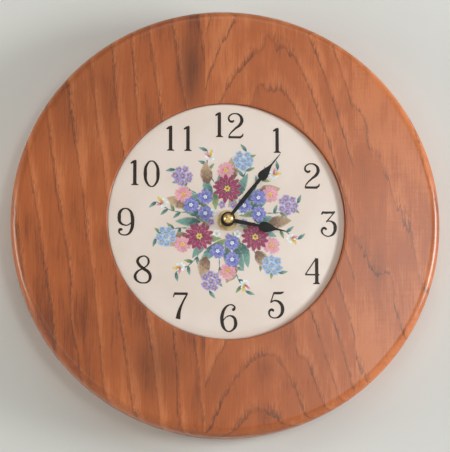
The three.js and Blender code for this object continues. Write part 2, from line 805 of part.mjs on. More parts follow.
function centreWheel() {
  const bore = minuteJournalDiameter / 2 + seatGap;
  const hole = disc(bore, midPlateBack - cutOverrun, caseDepth);
  const hub = disc(wheelHubDiameter / 2, (midPlateBack + centreWheelFront) / 2, wheelThickness);
  return piece('centre_wheel', cut(join(wheel(centreTeeth, trainModule, centreWheelFront), hub), hole),
    0xd9b56a, 0.35, 1);
}

function trainArbor() {
  const front = midPlateFront + layerGap;
  return disc(arborDiameter / 2, front, arborBack - front, smallFacets / 2);
}

function trainWheel(name, place, turn, ...parts) {
  const mesh = piece(name, join(trainArbor(), ...parts), 0xe6e2d6, 0.45, 0);
  mesh.position.set(place.x, 0, place.y);
  mesh.rotation.y = turn;
  return mesh;
}

function goingTrain() {
  const group = new THREE.Group();
  group.add(
    centreWheel(),
    trainWheel('third_wheel', thirdPlace, thirdTurn,
      pinion(thirdPinionTeeth, trainModule, centreWheelFront - pinionLead),
      wheel(thirdTeeth, secondModule, thirdWheelFront)),
    trainWheel('second_wheel', secondPlace, secondTurn,
      pinion(secondPinionTeeth, secondModule, thirdWheelFront - pinionLead),
      wheel(secondTeeth, trainModule, secondWheelFront)),
    trainWheel('intermediate_wheel', intermediatePlace, intermediateTurn,
      pinion(intermediatePinionTeeth, trainModule, secondWheelFront - pinionLead),
      wheel(intermediateTeeth, trainModule, intermediateWheelFront)),
    trainWheel('rotor', rotorPlace, rotorTurn,
      disc(rotorFlangeDiameter / 2, magnetFront - rotorFlangeThickness, rotorFlangeThickness),
      pinion(rotorTeeth, trainModule, intermediateWheelFront - pinionLead)),
  );
  return group;
}

// Step motor: magnet, stator and coil
const magnetFront = statorFront + (statorThickness - magnetThickness) / 2;
const bobbinDiameter = caseDepth * bobbinDepthShare;
const coreWidth = bobbinDiameter * coreWidthShare;
const coilOffset = chamberSide - coilWallRoom;
const coilTop = chamberSide - coilTopRoom;
const coilBottom = boardTop + coilBoardRoom;
const armBendX = coilOffset - bobbinDiameter / 2 - statorArmWidth;
const coilEndLength = statorArmWidth + seatGap;
const coreEnds = [coilBottom, coilTop].map((height, i) => height + (i ? -1 : 1) * statorArmWidth / 2);

function rotorMagnet() {
  const mesh = piece('rotor_magnet',
    ring(magnetDiameter / 2, arborDiameter / 2 + seatGap, magnetFront, magnetThickness), 0x55585c, 0.4, 1);
  mesh.position.set(rotorPlace.x, 0, rotorPlace.y);
  return mesh;
}

function stator() {
  const arms = coreEnds.flatMap((height) => {
    const bend = new THREE.Vector2(armBendX, height);
    const end = new THREE.Vector2(coilOffset, height);
    return [bar(rotorPlace, bend, statorArmWidth), bar(bend, end, statorArmWidth)];
  });
  const solids = arms.map((arm) => plate(arm, statorFront, statorThickness));
  const around = shifted(disc(statorRingDiameter / 2, statorFront, statorThickness), rotorPlace);
  const hole = shifted(disc(magnetDiameter / 2 + statorAirGap, statorFront - cutOverrun,
    statorThickness + 2 * cutOverrun), rotorPlace);
  return piece('stator', cut(join(around, ...solids), hole), 0x8d9094, 0.4, 1);
}

function coilCore() {
  const half = coreWidth / 2;
  const outline = rectangle(coilOffset - half, coilOffset + half, coilBottom, coilTop);
  const core = plate(outline, statorFront - statorThickness, statorThickness);
  return piece('coil_core', core, 0x8d9094, 0.4, 1);
}

// A solid turned about a vertical line through the coil's middle, from [radius, height] pairs
function uprightTurned(profile, facets = smallFacets) {
  const geometry = turned(profile, facets).rotateX(Math.PI / 2);
  return geometry.translate(coilOffset, statorFront - statorThickness / 2, 0);
}

function coilBobbin() {
  const bottom = coilBottom + coilEndLength;
  const top = coilTop - coilEndLength;
  const sleeve = coreWidth / 2 + seatGap + bobbinWall;
  const flange = bobbinDiameter / 2;
  const body = uprightTurned([
    [0, bottom],
    [flange, bottom],
    [flange, bottom + bobbinFlange],
    [sleeve, bottom + bobbinFlange],
    [sleeve, top - bobbinFlange],
    [flange, top - bobbinFlange],
    [flange, top],
    [0, top],
  ]);
  const half = coreWidth / 2 + seatGap;
  const slot = plate(rectangle(coilOffset - half, coilOffset + half, coilBottom, coilTop),
    statorFront - statorThickness - seatGap, statorThickness + 2 * seatGap);
  return piece('coil_bobbin', cut(body, slot), 0xe9e6dc, 0.5, 0);
}

function coilWinding() {
  const bottom = coilBottom + coilEndLength + bobbinFlange + seatGap;
  const top = coilTop - coilEndLength - bobbinFlange - seatGap;
  const inner = coreWidth / 2 + seatGap + bobbinWall + seatGap;
  const outer = inner + (bobbinDiameter / 2 - inner) * windingShare;
  return piece('coil_winding', uprightTurned([[inner, bottom], [outer, bottom], [outer, top], [inner, top],
    [inner, bottom]]), 0xb5622e, 0.35, 1);
}

// Circuit board with its chip and crystal
const boardLeft = motionPlace.x + motionArborDiameter / 2 + boardArborRoom;
const boardRight = chamberSide - boardMargin;
const boardBottom = chamberFloor + boardMargin;
const boardFront = midPlateBack;
const boardBack = boardFront + boardThickness;

function circuit() {
  const group = new THREE.Group();
  const boardOutline = rectangle(boardLeft, boardRight, boardBottom, boardTop);
  const board = piece('circuit_board', plate(boardOutline, boardFront, boardThickness), 0x2f6b4a, 0.5, 0);
  const chipRadius = chipDiameter / 2;
  const dome = arcPoints(0, 0, chipRadius, chipHeight, 0, Math.PI / 2);
  const chip = piece('chip_cover', turned([[0, 0], ...dome]), 0x141414, 0.4, 0);
  chip.position.set((boardLeft + boardRight) / 2, boardBack, boardTop - chipRadius - layerGap);
  const canRadius = crystalDiameter / 2;
  const can = new THREE.CylinderGeometry(canRadius, canRadius, crystalLength, smallFacets / 2);
  const crystal = piece('crystal', can, 0xc6c9cc, 0.3, 1);
  crystal.rotation.z = Math.PI / 2;
  crystal.position.set((boardLeft + boardRight) / 2, boardBack + canRadius + layerGap / 2,
    boardTop - chipDiameter - crystalDiameter);
  group.add(board, chip, crystal);
  return group;
}

// The cell and its two contacts
function cell() {
  const radius = cellDiameter / 2;
  const half = cellLength / 2;
  const shoulder = half - cellNubHeight;
  const mesh = piece('battery', turned([
    [0, -half],
    [radius - cellEdge, -half],
    [radius, cellEdge - half],
    [radius, shoulder - cellEdge],
    [radius - cellEdge, shoulder],
    [cellNubDiameter / 2, shoulder],
    [cellNubDiameter / 2, half],
    [0, half],
  ]), 0x2a5f9e, 0.4, 0.2);
  mesh.rotation.z = -Math.PI / 2;
  mesh.position.set(cellPlace.x, cellCentreDepth, cellPlace.y);
  return mesh;
}

function contact(name, places) {
  const outline = stripOutline(places.map(([x, y]) => new THREE.Vector2(x, y)), contactThickness);
  return piece(name, plate(outline, contactFront, contactWidth), 0xc9ccd0, 0.3, 1);
}

function contacts() {
  const low = cellPlace.y - cellNubDiameter / 2;
  const end = cellLength / 2 + seatGap + contactThickness / 2;
  const tail = cellWallTop + seatGap + contactThickness;
  const over = boardBottom + contactWidth;
  const positive = contact('positive_contact', [
    [end, cellPlace.y],
    [wallContactX, low],
    [wallContactX, over],
    [wallContactX - contactWidth, over],
  ]);
  const negative = contact('negative_contact', [
    [-end, cellPlace.y],
    [-wallContactX, low],
    [-wallContactX, tail],
    [boardLeft + contactWidth, tail],
    [boardLeft + contactWidth, over],
  ]);
  return [positive, negative];
}

// Spade hands, drawn pointing up with the shaft at zero
const bellyShare = 0.33;
const hourSpadeShares = { shoulder: 0.54, widest: 0.645, waist: 0.85 };
const minuteSpadeShares = { shoulder: 0.6, widest: 0.68, waist: 0.82 };
const neckWidthShare = 0.65;
const waistWidthShare = 0.22;

function spadeOutline(length, armWidth, spadeWidth, shares) {
  const hub = handHubDiameter / 2;
  const neck = armWidth * neckWidthShare / 2;
  const root = Math.sqrt(hub * hub - neck * neck);
  const rootAngle = Math.atan2(root, neck);
  const shape = new THREE.Shape();
  const belly = armWidth / 2;
  const wide = spadeWidth / 2;
  const waist = spadeWidth * waistWidthShare / 2;
  const shoulder = length * shares.shoulder;
  const widest = length * shares.widest;
  const waistAt = length * shares.waist;
  shape.absarc(0, 0, hub, Math.PI - rootAngle, rootAngle, false);
  shape.quadraticCurveTo(belly, length * bellyShare / 2, belly, length * bellyShare);
  shape.lineTo(neck, shoulder);
  shape.bezierCurveTo(wide, shoulder, wide, widest, wide * (1 - waistWidthShare), widest);
  shape.quadraticCurveTo(waist, (widest + waistAt) / 2, waist, waistAt);
  shape.lineTo(handTipWidth / 2, length);
  shape.lineTo(-handTipWidth / 2, length);
  shape.lineTo(-waist, waistAt);
  shape.quadraticCurveTo(-waist, (widest + waistAt) / 2, wide * (waistWidthShare - 1), widest);
  shape.bezierCurveTo(-wide, widest, -wide, shoulder, -neck, shoulder);
  shape.lineTo(-belly, length * bellyShare);
  shape.quadraticCurveTo(-belly, length * bellyShare / 2, -neck, root);
  return shape;
}

function hourHand() {
  const bore = colletTubeDiameter / 2 + seatGap;
  const front = -dialReach - hourHandReach - handThickness;
  const outline = spadeOutline(hourHandLength, hourArmWidth, hourSpadeWidth, hourSpadeShares);
  const blade = plate(outline, front, handThickness, arcFacets);
  const hole = disc(bore, front - cutOverrun, handThickness + 2 * cutOverrun);
  const mesh = piece('hour_hand', cut(blade, hole), 0x101010, 0.6, 0);
  mesh.rotation.y = hourHandAngle;
  return mesh;
}

function hourHandCollet() {
  const back = colletFlangeThickness - dialReach - hourHandReach;
  const bore = hourTubeRadius + seatGap;
  const tube = colletTubeDiameter / 2;
  const flange = colletFlangeDiameter / 2;
  const profile = [
    [bore, back - colletLength],
    [tube, back - colletLength],
    [tube, back - colletFlangeThickness],
    [flange, back - colletFlangeThickness],
    [flange, back],
    [bore, back],
    [bore, back - colletLength],
  ];
  return piece('hour_hand_collet', turned(profile), 0x101010, 0.5, 0);
}

function minuteHand() {
  const outline = spadeOutline(minuteHandLength, minuteArmWidth, minuteSpadeWidth, minuteSpadeShares);
  const blade = plate(outline, minuteHandFront, handThickness, arcFacets);
  const hole = flattedDisc(arborThreadDiameter / 2 + seatGap, arborFlatWidth + 2 * seatGap,
    minuteHandFront - cutOverrun, handThickness + 2 * cutOverrun);
  const mesh = piece('minute_hand', cut(blade, hole), 0x101010, 0.6, 0);
  mesh.rotation.y = minuteHandAngle;
  return mesh;
}

function capNut() {
  const radius = capNutDiameter / 2;
  const bore = arborThreadDiameter / 2 + seatGap;
  const roof = arborThreadReach + seatGap;
  const profile = [
    [0, -capNutHeight],
    ...arcPoints(0, -capNutRim, radius, capNutHeight - capNutRim, -Math.PI / 2, 0).slice(1),
    [radius, 0],
    [bore, 0],
    [bore, -roof],
    [0, -roof],
  ];
  const mesh = piece('cap_nut', turned(profile), 0xd6b25e, 0.25, 1);
  mesh.position.y = minuteHandFront;
  return mesh;
}

// The clock: everything hangs from the hook's nail
const clock = new THREE.Group();
const centred = new THREE.Group();
centred.position.z = -hookHeight;
const movement = new THREE.Group();
movement.position.y = -caseFront;
movement.add(frontCase(), midPlate(), backCover(), threadedBush());
movement.add(minuteArbor(), hourWheel(), motionWheel(), settingKnob());
movement.add(goingTrain(), rotorMagnet(), stator(), coilCore(), coilBobbin(), coilWinding());
movement.add(circuit(), cell(), ...contacts());
movement.add(hourHand(), hourHandCollet(), minuteHand(), capNut());
centred.add(...boards(), dial(), hardware(), movement);
clock.add(centred, hanger());

export default clock;
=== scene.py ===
import math
import random

import bmesh
import bpy
from mathutils import Matrix, Vector


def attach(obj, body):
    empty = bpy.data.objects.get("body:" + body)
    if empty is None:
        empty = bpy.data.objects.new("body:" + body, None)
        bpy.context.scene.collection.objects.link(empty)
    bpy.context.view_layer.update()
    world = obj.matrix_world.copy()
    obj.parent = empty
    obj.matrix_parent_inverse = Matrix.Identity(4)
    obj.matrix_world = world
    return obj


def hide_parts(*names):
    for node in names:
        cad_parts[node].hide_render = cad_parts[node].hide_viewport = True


# Wooden wall clock: turned panel of three boards, glazed dial, spade hands, quartz movement behind.
# Lengths are millimetres from the dial's centre: x right, z up, depth off the wall. Lamps and bumps are in metres.

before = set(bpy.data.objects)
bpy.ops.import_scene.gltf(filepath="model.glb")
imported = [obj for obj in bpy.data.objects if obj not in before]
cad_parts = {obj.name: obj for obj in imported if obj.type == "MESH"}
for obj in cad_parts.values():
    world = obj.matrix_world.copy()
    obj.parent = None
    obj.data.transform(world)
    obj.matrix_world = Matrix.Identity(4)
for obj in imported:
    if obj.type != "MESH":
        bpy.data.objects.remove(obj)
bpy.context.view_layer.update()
scene = bpy.context.scene

centreDrop = 108  # dial's centre below the nail that the hook hangs on
toFrame = Matrix.Translation((0, 0, -centreDrop / 1000)) @ Matrix.Scale(0.001, 4)
fullTurn = 2 * math.pi
faceForward = Matrix.Rotation(fullTurn / 4, 4, "X")  # a drawing on x, y faces the room
mergeGap, fineGap = 1e-3, 1e-4  # points closer than this become one
softSpan = (0.3, 0.7)  # where most values of a noise lie
shaderSockets = dict(metal="Metallic", coat="Coat Weight", gloss="Coat Roughness", shine="Specular IOR Level",
                     index="IOR", plainRough="Roughness")


# Node helpers
def screenColour(red, green, blue):  # a colour as seen on screen, 0 to 255
    shares = [value / 255 for value in (red, green, blue)]
    return tuple(v / 12.92 if v <= 0.04045 else ((v + 0.055) / 1.055) ** 2.4 for v in shares) + (1,)


def setSocket(socket, value):
    if isinstance(value, bpy.types.NodeSocket):
        socket.id_data.links.new(value, socket)
    else:
        socket.default_value = value


def addNode(near, kind, inputs=None, **settings):  # goes into the node tree that near is in
    node = near.id_data.nodes.new("ShaderNode" + kind)
    for key, value in settings.items():
        setattr(node, key, value)
    for key, value in (inputs or {}).items():
        setSocket(node.inputs[key], value)
    return node


def calc(operation, *values):
    return addNode(values[0], "Math", dict(enumerate(values)), operation=operation).outputs[0]


def vectorCalc(operation, *values, output=0):
    return addNode(values[0], "VectorMath", dict(enumerate(values)), operation=operation).outputs[output]


def between(value, low, high, start=0.0, end=1.0):  # a smooth step
    inputs = {"Value": value, "From Min": low, "From Max": high, "To Min": start, "To Max": end}
    return addNode(value, "MapRange", inputs, interpolation_type="SMOOTHSTEP").outputs["Result"]


def noise(vector, sizes, detail=2.0):  # one cell is about sizes across
    if not isinstance(sizes, tuple):
        sizes = (sizes,) * 3
    place = addNode(vector, "Mapping", {"Vector": vector, "Scale": [1 / size for size in sizes]}).outputs[0]
    return addNode(vector, "TexNoise", {"Vector": place, "Scale": 1.0, "Detail": detail}).outputs["Fac"]


def axes(point):
    return addNode(point, "SeparateXYZ", {0: point}).outputs


def mixColour(factor, first, second, blend="MIX"):  # three numbers are a screen colour
    first, second = (screenColour(*value) if isinstance(value, tuple) and len(value) == 3 else value
                     for value in (first, second))
    return addNode(factor, "Mix", {0: factor, 6: first, 7: second}, data_type="RGBA", blend_type=blend).outputs[2]


def newMaterial(name, plan):  # and the point that is coloured, in millimetres from the dial's centre
    material = bpy.data.materials.new(name)
    material.use_nodes = True
    shader = material.node_tree.nodes["Principled BSDF"]
    for key, socket in shaderSockets.items():
        if key in plan:
            shader.inputs[socket].default_value = plan[key]
    inputs = {"Vector": addNode(shader, "TexCoord").outputs["Object"], "Location": (0, 0, centreDrop),
              "Scale": (1000, 1000, 1000)}
    return material, shader, addNode(shader, "Mapping", inputs).outputs[0]


def bump(height, distance, strength):
    inputs = {"Height": height, "Distance": distance, "Strength": strength}
    return addNode(height, "Bump", inputs).outputs["Normal"]


def joinTo(shader, **sockets):
    for key, value in sockets.items():
        setSocket(shader.inputs[key.replace("_", " ")], value)


def dress(material, shader, plan, colour, field, height, span=softSpan):
    joinTo(shader, Base_Color=colour, Roughness=between(field, *span, *plan["rough"]),
           Normal=bump(height, plan["bump"], plan.get("bumpShare", 0.5)))
    return material


def newGroup(name, inputs, outputs):
    group = bpy.data.node_groups.new(name, "ShaderNodeTree")
    for direction, sockets in (("INPUT", inputs), ("OUTPUT", outputs)):
        for socketName, kind in sockets.items():
            group.interface.new_socket(socketName, in_out=direction, socket_type="NodeSocket" + kind)
    return group, group.nodes.new("NodeGroupInput").outputs, group.nodes.new("NodeGroupOutput").inputs


def placeGroup(group, inputs):
    node = inputs["Point"].id_data.nodes.new("ShaderNodeGroup")
    node.node_tree = group
    for key, value in inputs.items():
        setSocket(node.inputs[key], value)
    return node.outputs


# Mesh helpers
def cleanUp(bm, gap=mergeGap):
    bmesh.ops.remove_doubles(bm, verts=bm.verts, dist=gap)
    bmesh.ops.recalc_face_normals(bm, faces=bm.faces)


def newObject(name, bm):  # uses the bmesh up
    mesh = bpy.data.meshes.new(name)
    bm.to_mesh(mesh)
    bm.free()
    obj = bpy.data.objects.new(name, mesh)
    scene.collection.objects.link(obj)
    return obj


def finishPiece(name, bm, material, body, slotName, *replaced, sharpAngle=35, merge=True, flatFaces=False):
    if merge:
        cleanUp(bm)
    bmesh.ops.transform(bm, matrix=toFrame, verts=bm.verts)
    piece = newObject(name, bm)
    piece.data.materials.append(material)
    piece.data.shade_smooth()
    piece.data.set_sharp_from_angle(angle=math.radians(sharpAngle))
    if flatFaces:
        piece.modifiers.new("flatFaces", "WEIGHTED_NORMAL").keep_sharp = True
    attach(piece, body)
    if replaced:
        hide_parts(*replaced)


def drawProfile(bm, corners, closed):  # corners are (radius, depth, rounding)
    points = [bm.verts.new((radius, -depth, 0)) for radius, depth, _ in corners]
    ends = points[1:] + points[:1] if closed else points[1:]
    for first, second in zip(points, ends):
        bm.edges.new((first, second))
    for point, (_, _, rounding) in zip(points, corners):
        if rounding:
            bmesh.ops.bevel(bm, geom=[point], offset=rounding, segments=max(3, round(rounding * 2)),
                            profile=0.5, affect="VERTICES", material=-1)


def spin(bm, turns, steps, climb=0, merge=True):  # about the clock's axis, climbing at each step
    bmesh.ops.spin(bm, geom=bm.verts[:] + bm.edges[:], cent=(0, 0, 0), axis=(0, 1, 0), dvec=(0, climb, 0),
                   angle=turns * fullTurn, space=Matrix.Identity(4), steps=turns * steps, use_merge=merge,
                   use_normal_flip=False, use_duplicate=False)


def turned(corners, steps=64, closed=True):
    bm = bmesh.new()
    drawProfile(bm, corners, closed)
    spin(bm, 1, steps)
    return bm


def sawOff(bm, place, side):  # what lies on that side of the place goes, and the cut is filled
    result = bmesh.ops.bisect_plane(bm, geom=bm.verts[:] + bm.edges[:] + bm.faces[:], dist=1e-5,
                                    plane_co=place, plane_no=side, clear_outer=True)
    edges = [item for item in result["geom_cut"] if isinstance(item, bmesh.types.BMEdge)]
    bmesh.ops.edgeloop_fill(bm, edges=edges)


def meshFrom(obj):  # the mesh of an object with its modifiers, which then goes
    depsgraph = bpy.context.evaluated_depsgraph_get()
    mesh = bpy.data.meshes.new_from_object(obj.evaluated_get(depsgraph))
    bpy.data.objects.remove(obj)
    return mesh


def addMesh(bm, mesh, matrix=None):
    if matrix is not None:
        mesh.transform(matrix)
    bm.from_mesh(mesh)
    bpy.data.meshes.remove(mesh)


def addPart(bm, part, matrix=None):  # joins another bmesh to this one and uses it up
    mesh = bpy.data.meshes.new("part")
    part.to_mesh(mesh)
    part.free()
    addMesh(bm, mesh, matrix)


def newCurve(points, closed, **settings):  # points are (x, y, half width, handle)
    curve = bpy.data.curves.new("drawing", "CURVE")
    for key, value in settings.items():
        setattr(curve, key, value)
    spline = curve.splines.new("BEZIER")
    spline.bezier_points.add(len(points) - 1)
    spline.use_cyclic_u = closed
    for point, (x, y, halfWidth, handle) in zip(spline.bezier_points, points):
        point.co = (x, y, 0)
        point.radius = halfWidth
        point.handle_left_type = point.handle_right_type = handle
    obj = bpy.data.objects.new("drawing", curve)
    scene.collection.objects.link(obj)
    return obj


def addStroke(bm, points, place, detail, closed=False):  # a flat ribbon through points (x, y, half width)
    obj = newCurve([(*point, "AUTO") for point in points], closed, dimensions="3D", twist_mode="Z_UP", extrude=1,
                   resolution_u=detail)
    for point in obj.data.splines[0].bezier_points:
        point.tilt = fullTurn / 4
    addMesh(bm, meshFrom(obj), Matrix.Translation(place))


def cutAway(bm, cutters):  # an exact boolean, with the cutters given as bmeshes
    for cutter in cutters:
        cleanUp(cutter, fineGap)
    blank, *tools = [newObject("rough", part) for part in [bm] + cutters]
    for tool in tools:
        modifier = blank.modifiers.new("cut", "BOOLEAN")
        modifier.operation, modifier.solver, modifier.object = "DIFFERENCE", "EXACT", tool
    result = bmesh.new()
    addMesh(result, meshFrom(blank))
    for tool in tools:
        bpy.data.objects.remove(tool)
    return result


def easeEdges(bm, edges, width, segments=2):
    bmesh.ops.bevel(bm, geom=edges, offset=width, segments=segments, profile=0.5, affect="EDGES", material=-1,
                    clamp_overlap=True)


def easeCorners(bm, width, sharpest=30):
    limit = math.radians(sharpest)
    easeEdges(bm, [edge for edge in bm.edges if edge.is_manifold and edge.calc_face_angle() > limit], width)


print("helpers ready")


# Camera: well off, a little below and to the left
view = dict(distance=1350, below=8.6, left=4.4, roll=0.12, lens=162.8, shiftX=0.00222, shiftY=0.00193, nearest=10)
target = Vector((0, 0, -centreDrop / 1000))
below, left, roll = (math.radians(view[key]) for key in ("below", "left", "roll"))
sight = Vector((-math.sin(left) * math.cos(below), -math.cos(left) * math.cos(below), -math.sin(below)))
cameraData = bpy.data.cameras.new("camera")
cameraData.lens, cameraData.clip_start = view["lens"], view["nearest"] / 1000
cameraData.shift_x, cameraData.shift_y = view["shiftX"], view["shiftY"]
camera = bpy.data.objects.new("camera", cameraData)
camera.location = target + sight * view["distance"] / 1000
facing = (-sight).to_track_quat("-Z", "Y").to_matrix()
camera.rotation_euler = (facing @ Matrix.Rotation(-roll, 3, "Z")).to_euler()
scene.collection.objects.link(camera)
scene.camera = camera
scene.view_settings.view_transform = "Standard"

# Lamps: a window on the right that shades the dial's rim, a weaker one on the left, soft light from the front
lamps = dict(
    rightWindow=dict(place=(1.6, -0.58, -0.06), size=(0.4, 0.7), power=29.5, colour=(0.92, 0.98, 1.0)),
    rightSheen=dict(place=(0.42, -1.6, 0.03), size=(0.18, 0.4), power=3.4, colour=(0.92, 0.97, 1.0)),
    frontFill=dict(place=(-0.9, -2.2, -0.5), size=(1.0, 1.0), power=4.6, colour=(0.92, 1.0, 1.0)),
    leftWindow=dict(place=(-1.6, -0.4, -0.1), size=(0.3, 0.8), power=13.5, colour=(0.93, 1.0, 0.97)),
    ceiling=dict(place=(0.2, -1.5, 1.2), size=(1.2, 1.2), power=7.0, colour=(0.9, 0.98, 1.0)),
    behind=dict(place=(1.0, 1.6, 0.6), size=(1.2, 1.2), power=34.0, colour=(1.0, 1.0, 1.0)),
)
for name, lamp in lamps.items():
    lampData = bpy.data.lights.new(name, "AREA")
    lampData.shape = "RECTANGLE"
    lampData.size, lampData.size_y = lamp["size"]
    lampData.energy, lampData.color = lamp["power"], lamp["colour"]
    lampObject = bpy.data.objects.new(name, lampData)
    lampObject.location = lamp["place"]
    lampObject.rotation_euler = (target - Vector(lamp["place"])).to_track_quat("-Z", "Y").to_euler()
    scene.collection.objects.link(lampObject)
air = dict(colour=(1.0, 0.88, 0.76, 1), strength=0.21, mirrored=0.1, seen=0.58)  # light from all round
world = bpy.data.worlds.new("room")
world.use_nodes = True
background = world.node_tree.nodes["Background"]
background.inputs["Color"].default_value = air["colour"]
rays = addNode(background, "LightPath").outputs
mirrored = calc("MAXIMUM", rays["Is Glossy Ray"], rays["Is Transmission Ray"])
strength = calc("MULTIPLY_ADD", mirrored, air["mirrored"], air["strength"])
joinTo(background, Strength=calc("MULTIPLY_ADD", rays["Is Camera Ray"], air["seen"], strength))
scene.world = world

# Wall and floor: pale, seen through from behind, and open where the panel covers the wall
room = dict(wall=(216, 214, 209), floor=(205, 203, 199), wallGap=0.3, wallSize=1600, opening=138.3, wallSteps=96,
            floorSize=9000, floorDrop=1300, floorGlow=0.8, plainRough=0.9, patch=220, patchSpan=(0.35, 0.65),
            shaded=0.97)


def roomMaterial(name, colour, glow):
    material, shader, point = newMaterial(name + "Paint", room)
    base = screenColour(*colour)
    shaded = tuple(room["shaded"] * value for value in base[:3]) + (1,)
    patches = between(noise(point, room["patch"], detail=3), *room["patchSpan"])
    painted = mixColour(patches, base, shaded)
    rays = addNode(point, "LightPath").outputs
    seen = calc("MAXIMUM", rays["Is Camera Ray"], rays["Is Glossy Ray"])
    joinTo(shader, Base_Color=painted, Emission_Color=painted,
           Emission_Strength=calc("MULTIPLY", seen, glow))
    clear = addNode(point, "BsdfTransparent").outputs[0]
    back = addNode(point, "NewGeometry").outputs["Backfacing"]
    mixed = addNode(point, "MixShader", {0: back, 1: shader.outputs[0], 2: clear}).outputs[0]
    setSocket(material.node_tree.nodes["Material Output"].inputs["Surface"], mixed)
    return material


def addBackdrop(name, bm, glow):
    bmesh.ops.transform(bm, matrix=toFrame, verts=bm.verts)
    backdrop = newObject(name, bm)
    backdrop.data.materials.append(roomMaterial(name, room[name], glow))


wall = bmesh.new()
rims = [wall.verts.new((reach, room["wallGap"], 0)) for reach in (room["opening"], room["wallSize"] / 2)]
wall.edges.new(rims)
spin(wall, 1, room["wallSteps"])
if sum(face.normal.y for face in wall.faces) > 0:
    bmesh.ops.reverse_faces(wall, faces=wall.faces)
addBackdrop("wall", wall, 0.0)
floor = bmesh.new()
bmesh.ops.create_grid(floor, x_segments=4, y_segments=4, size=room["floorSize"] / 2,
                      matrix=Matrix.Translation((0, 0, -room["floorDrop"])))
addBackdrop("floor", floor, room["floorGlow"])
print("camera, lamps and wall ready")


# Panel: three stained boards, glued up and turned round, with pockets cut into the back
panel = dict(
    radius=139.7, thickness=28.6, roundover=6.35, backEase=1.6, boreRadius=77.3, boreEase=0.8, boreDepth=7.2,
    webHole=6, flatMargin=0.25, steps=240, joints=(-14.4, 82.5), overrun=2,
    movementPocket=dict(side=31, bottom=-31, top=31, depth=18.2, corner=8),
    hangerPocket=dict(side=26, bottom=101.2, top=118.7, depth=3.2, corner=4),
    coat=0.65, gloss=0.26, shine=0.2, index=1.45, bump=0.00012, bumpShare=0.7, spot=(0.36, 0.38, 0.42, 1),
    dark=(130, 64, 32), middle=(172, 90, 44), light=(198, 114, 66), line=(108, 62, 40), pore=(84, 52, 38))
boardPlans = dict(  # swirls and spots are x, z, half width, half height, strength
    board_left=dict(
        shift=(310, 40, 90), tone=-0.1, mark=0.3, lean=5, pith=-330, power=1, spread=1, slope=0.2, tilt=0.05,
        ringWidth=15, phase=0.831, thin=0.06, chatter=0.0, flat=0, late=0.24, swirls=[(-95, -62, 9, 26, 0.4)],
        spots=[(-24, 100, 13, 46, 0.85), (-46, -92, 30, 38, 0.6), (-92, 86, 60, 70, 0.3),
               (-100, -80, 50, 40, 0.15)]),
    board_centre=dict(
        shift=(-40, 15, 170), tone=0.04, mark=0.5, lean=-1, pith=24.6, power=1.4, spread=0.0835, slope=0.6,
        tilt=0.16, ringWidth=5.6, phase=0.6, thin=0.065, chatter=0.05, flat=10, late=0.15,
        swirls=[(27, 121, 3, 14, -0.16), (33, 112, 4, 13, 0.17), (21, 83, 6.5, 18, -0.42), (26, -98, 9, 20, -0.2),
                (44, -84, 9, 20, 0.3)],
        spots=[(-8, 118, 12, 30, 0.12), (-12, -104, 20, 26, 0.25), (24, -96, 10, 12, 0.3), (62, -84, 12, 40, 0.12)]),
    board_right=dict(
        shift=(120, -60, -230), tone=0.12, mark=0.4, lean=20, pith=-260, power=1, spread=1, slope=0.12, tilt=0.02,
        ringWidth=29, phase=0.276, thin=0.035, chatter=0.2, flat=0, late=0.12,
        swirls=[(86, 62, 9, 18, -0.35), (104, -40, 9, 18, -0.3)],
        spots=[(96, 62, 14, 16, 0.12), (98, -32, 8, 22, 0.3)]),
)
grain = dict(
    drifts=(((40, 60, 170), 0.9), ((14, 22, 70), 0.35), ((1.9, 4, 20), 0.19), ((0.8, 1, 6), 0.05)),
    driftDetail=1.5,
    # what comes and goes with a ring's age in line widths: rise, fall, share that stays
    marks=dict(line=((0, 0.5), (0.6, 1.8), 0), pores=((0, 0.5), (1.5, 5), 0.08), late=((1.2, 2.4), (2.6, 9), 0)),
    # cell sizes, detail and how much of the tone
    fibres=((0.8, 0.8, 18), 3, 0.48), chatter=((16, 10, 1.6), 2),
    tones=(((0.45, 0.45, 3.2), 2, 0.18), ((6, 9, 90), 3, 0.42), ((15, 14, 34), 4, 0.6), ((48, 40, 95), 3, 0.9)),
    pores=((0.6, 0.6, 4.5), 1), poreSpan=(0.48, 0.57), poreShare=0.62, faded=((9, 14, 60), 2),
    fadedSpan=(0.36, 0.62, 0.25, 1), ringTone=0.1, ringMark=0.2, toneStops=(0.15, 0.5, 0.85),
    rough=0.5, poreRough=0.15, fibreHeight=0.3, lineDepth=0.25)


def ramp(factor, stops):
    node = addNode(factor, "ValToRGB", {"Fac": factor})
    node.color_ramp.interpolation = "EASE"
    elements = node.color_ramp.elements
    while len(elements) < len(stops):
        elements.new(0.5)
    for element, (position, colour) in zip(elements, stops):
        element.position, element.color = position, screenColour(*colour)
    return node.outputs["Color"]


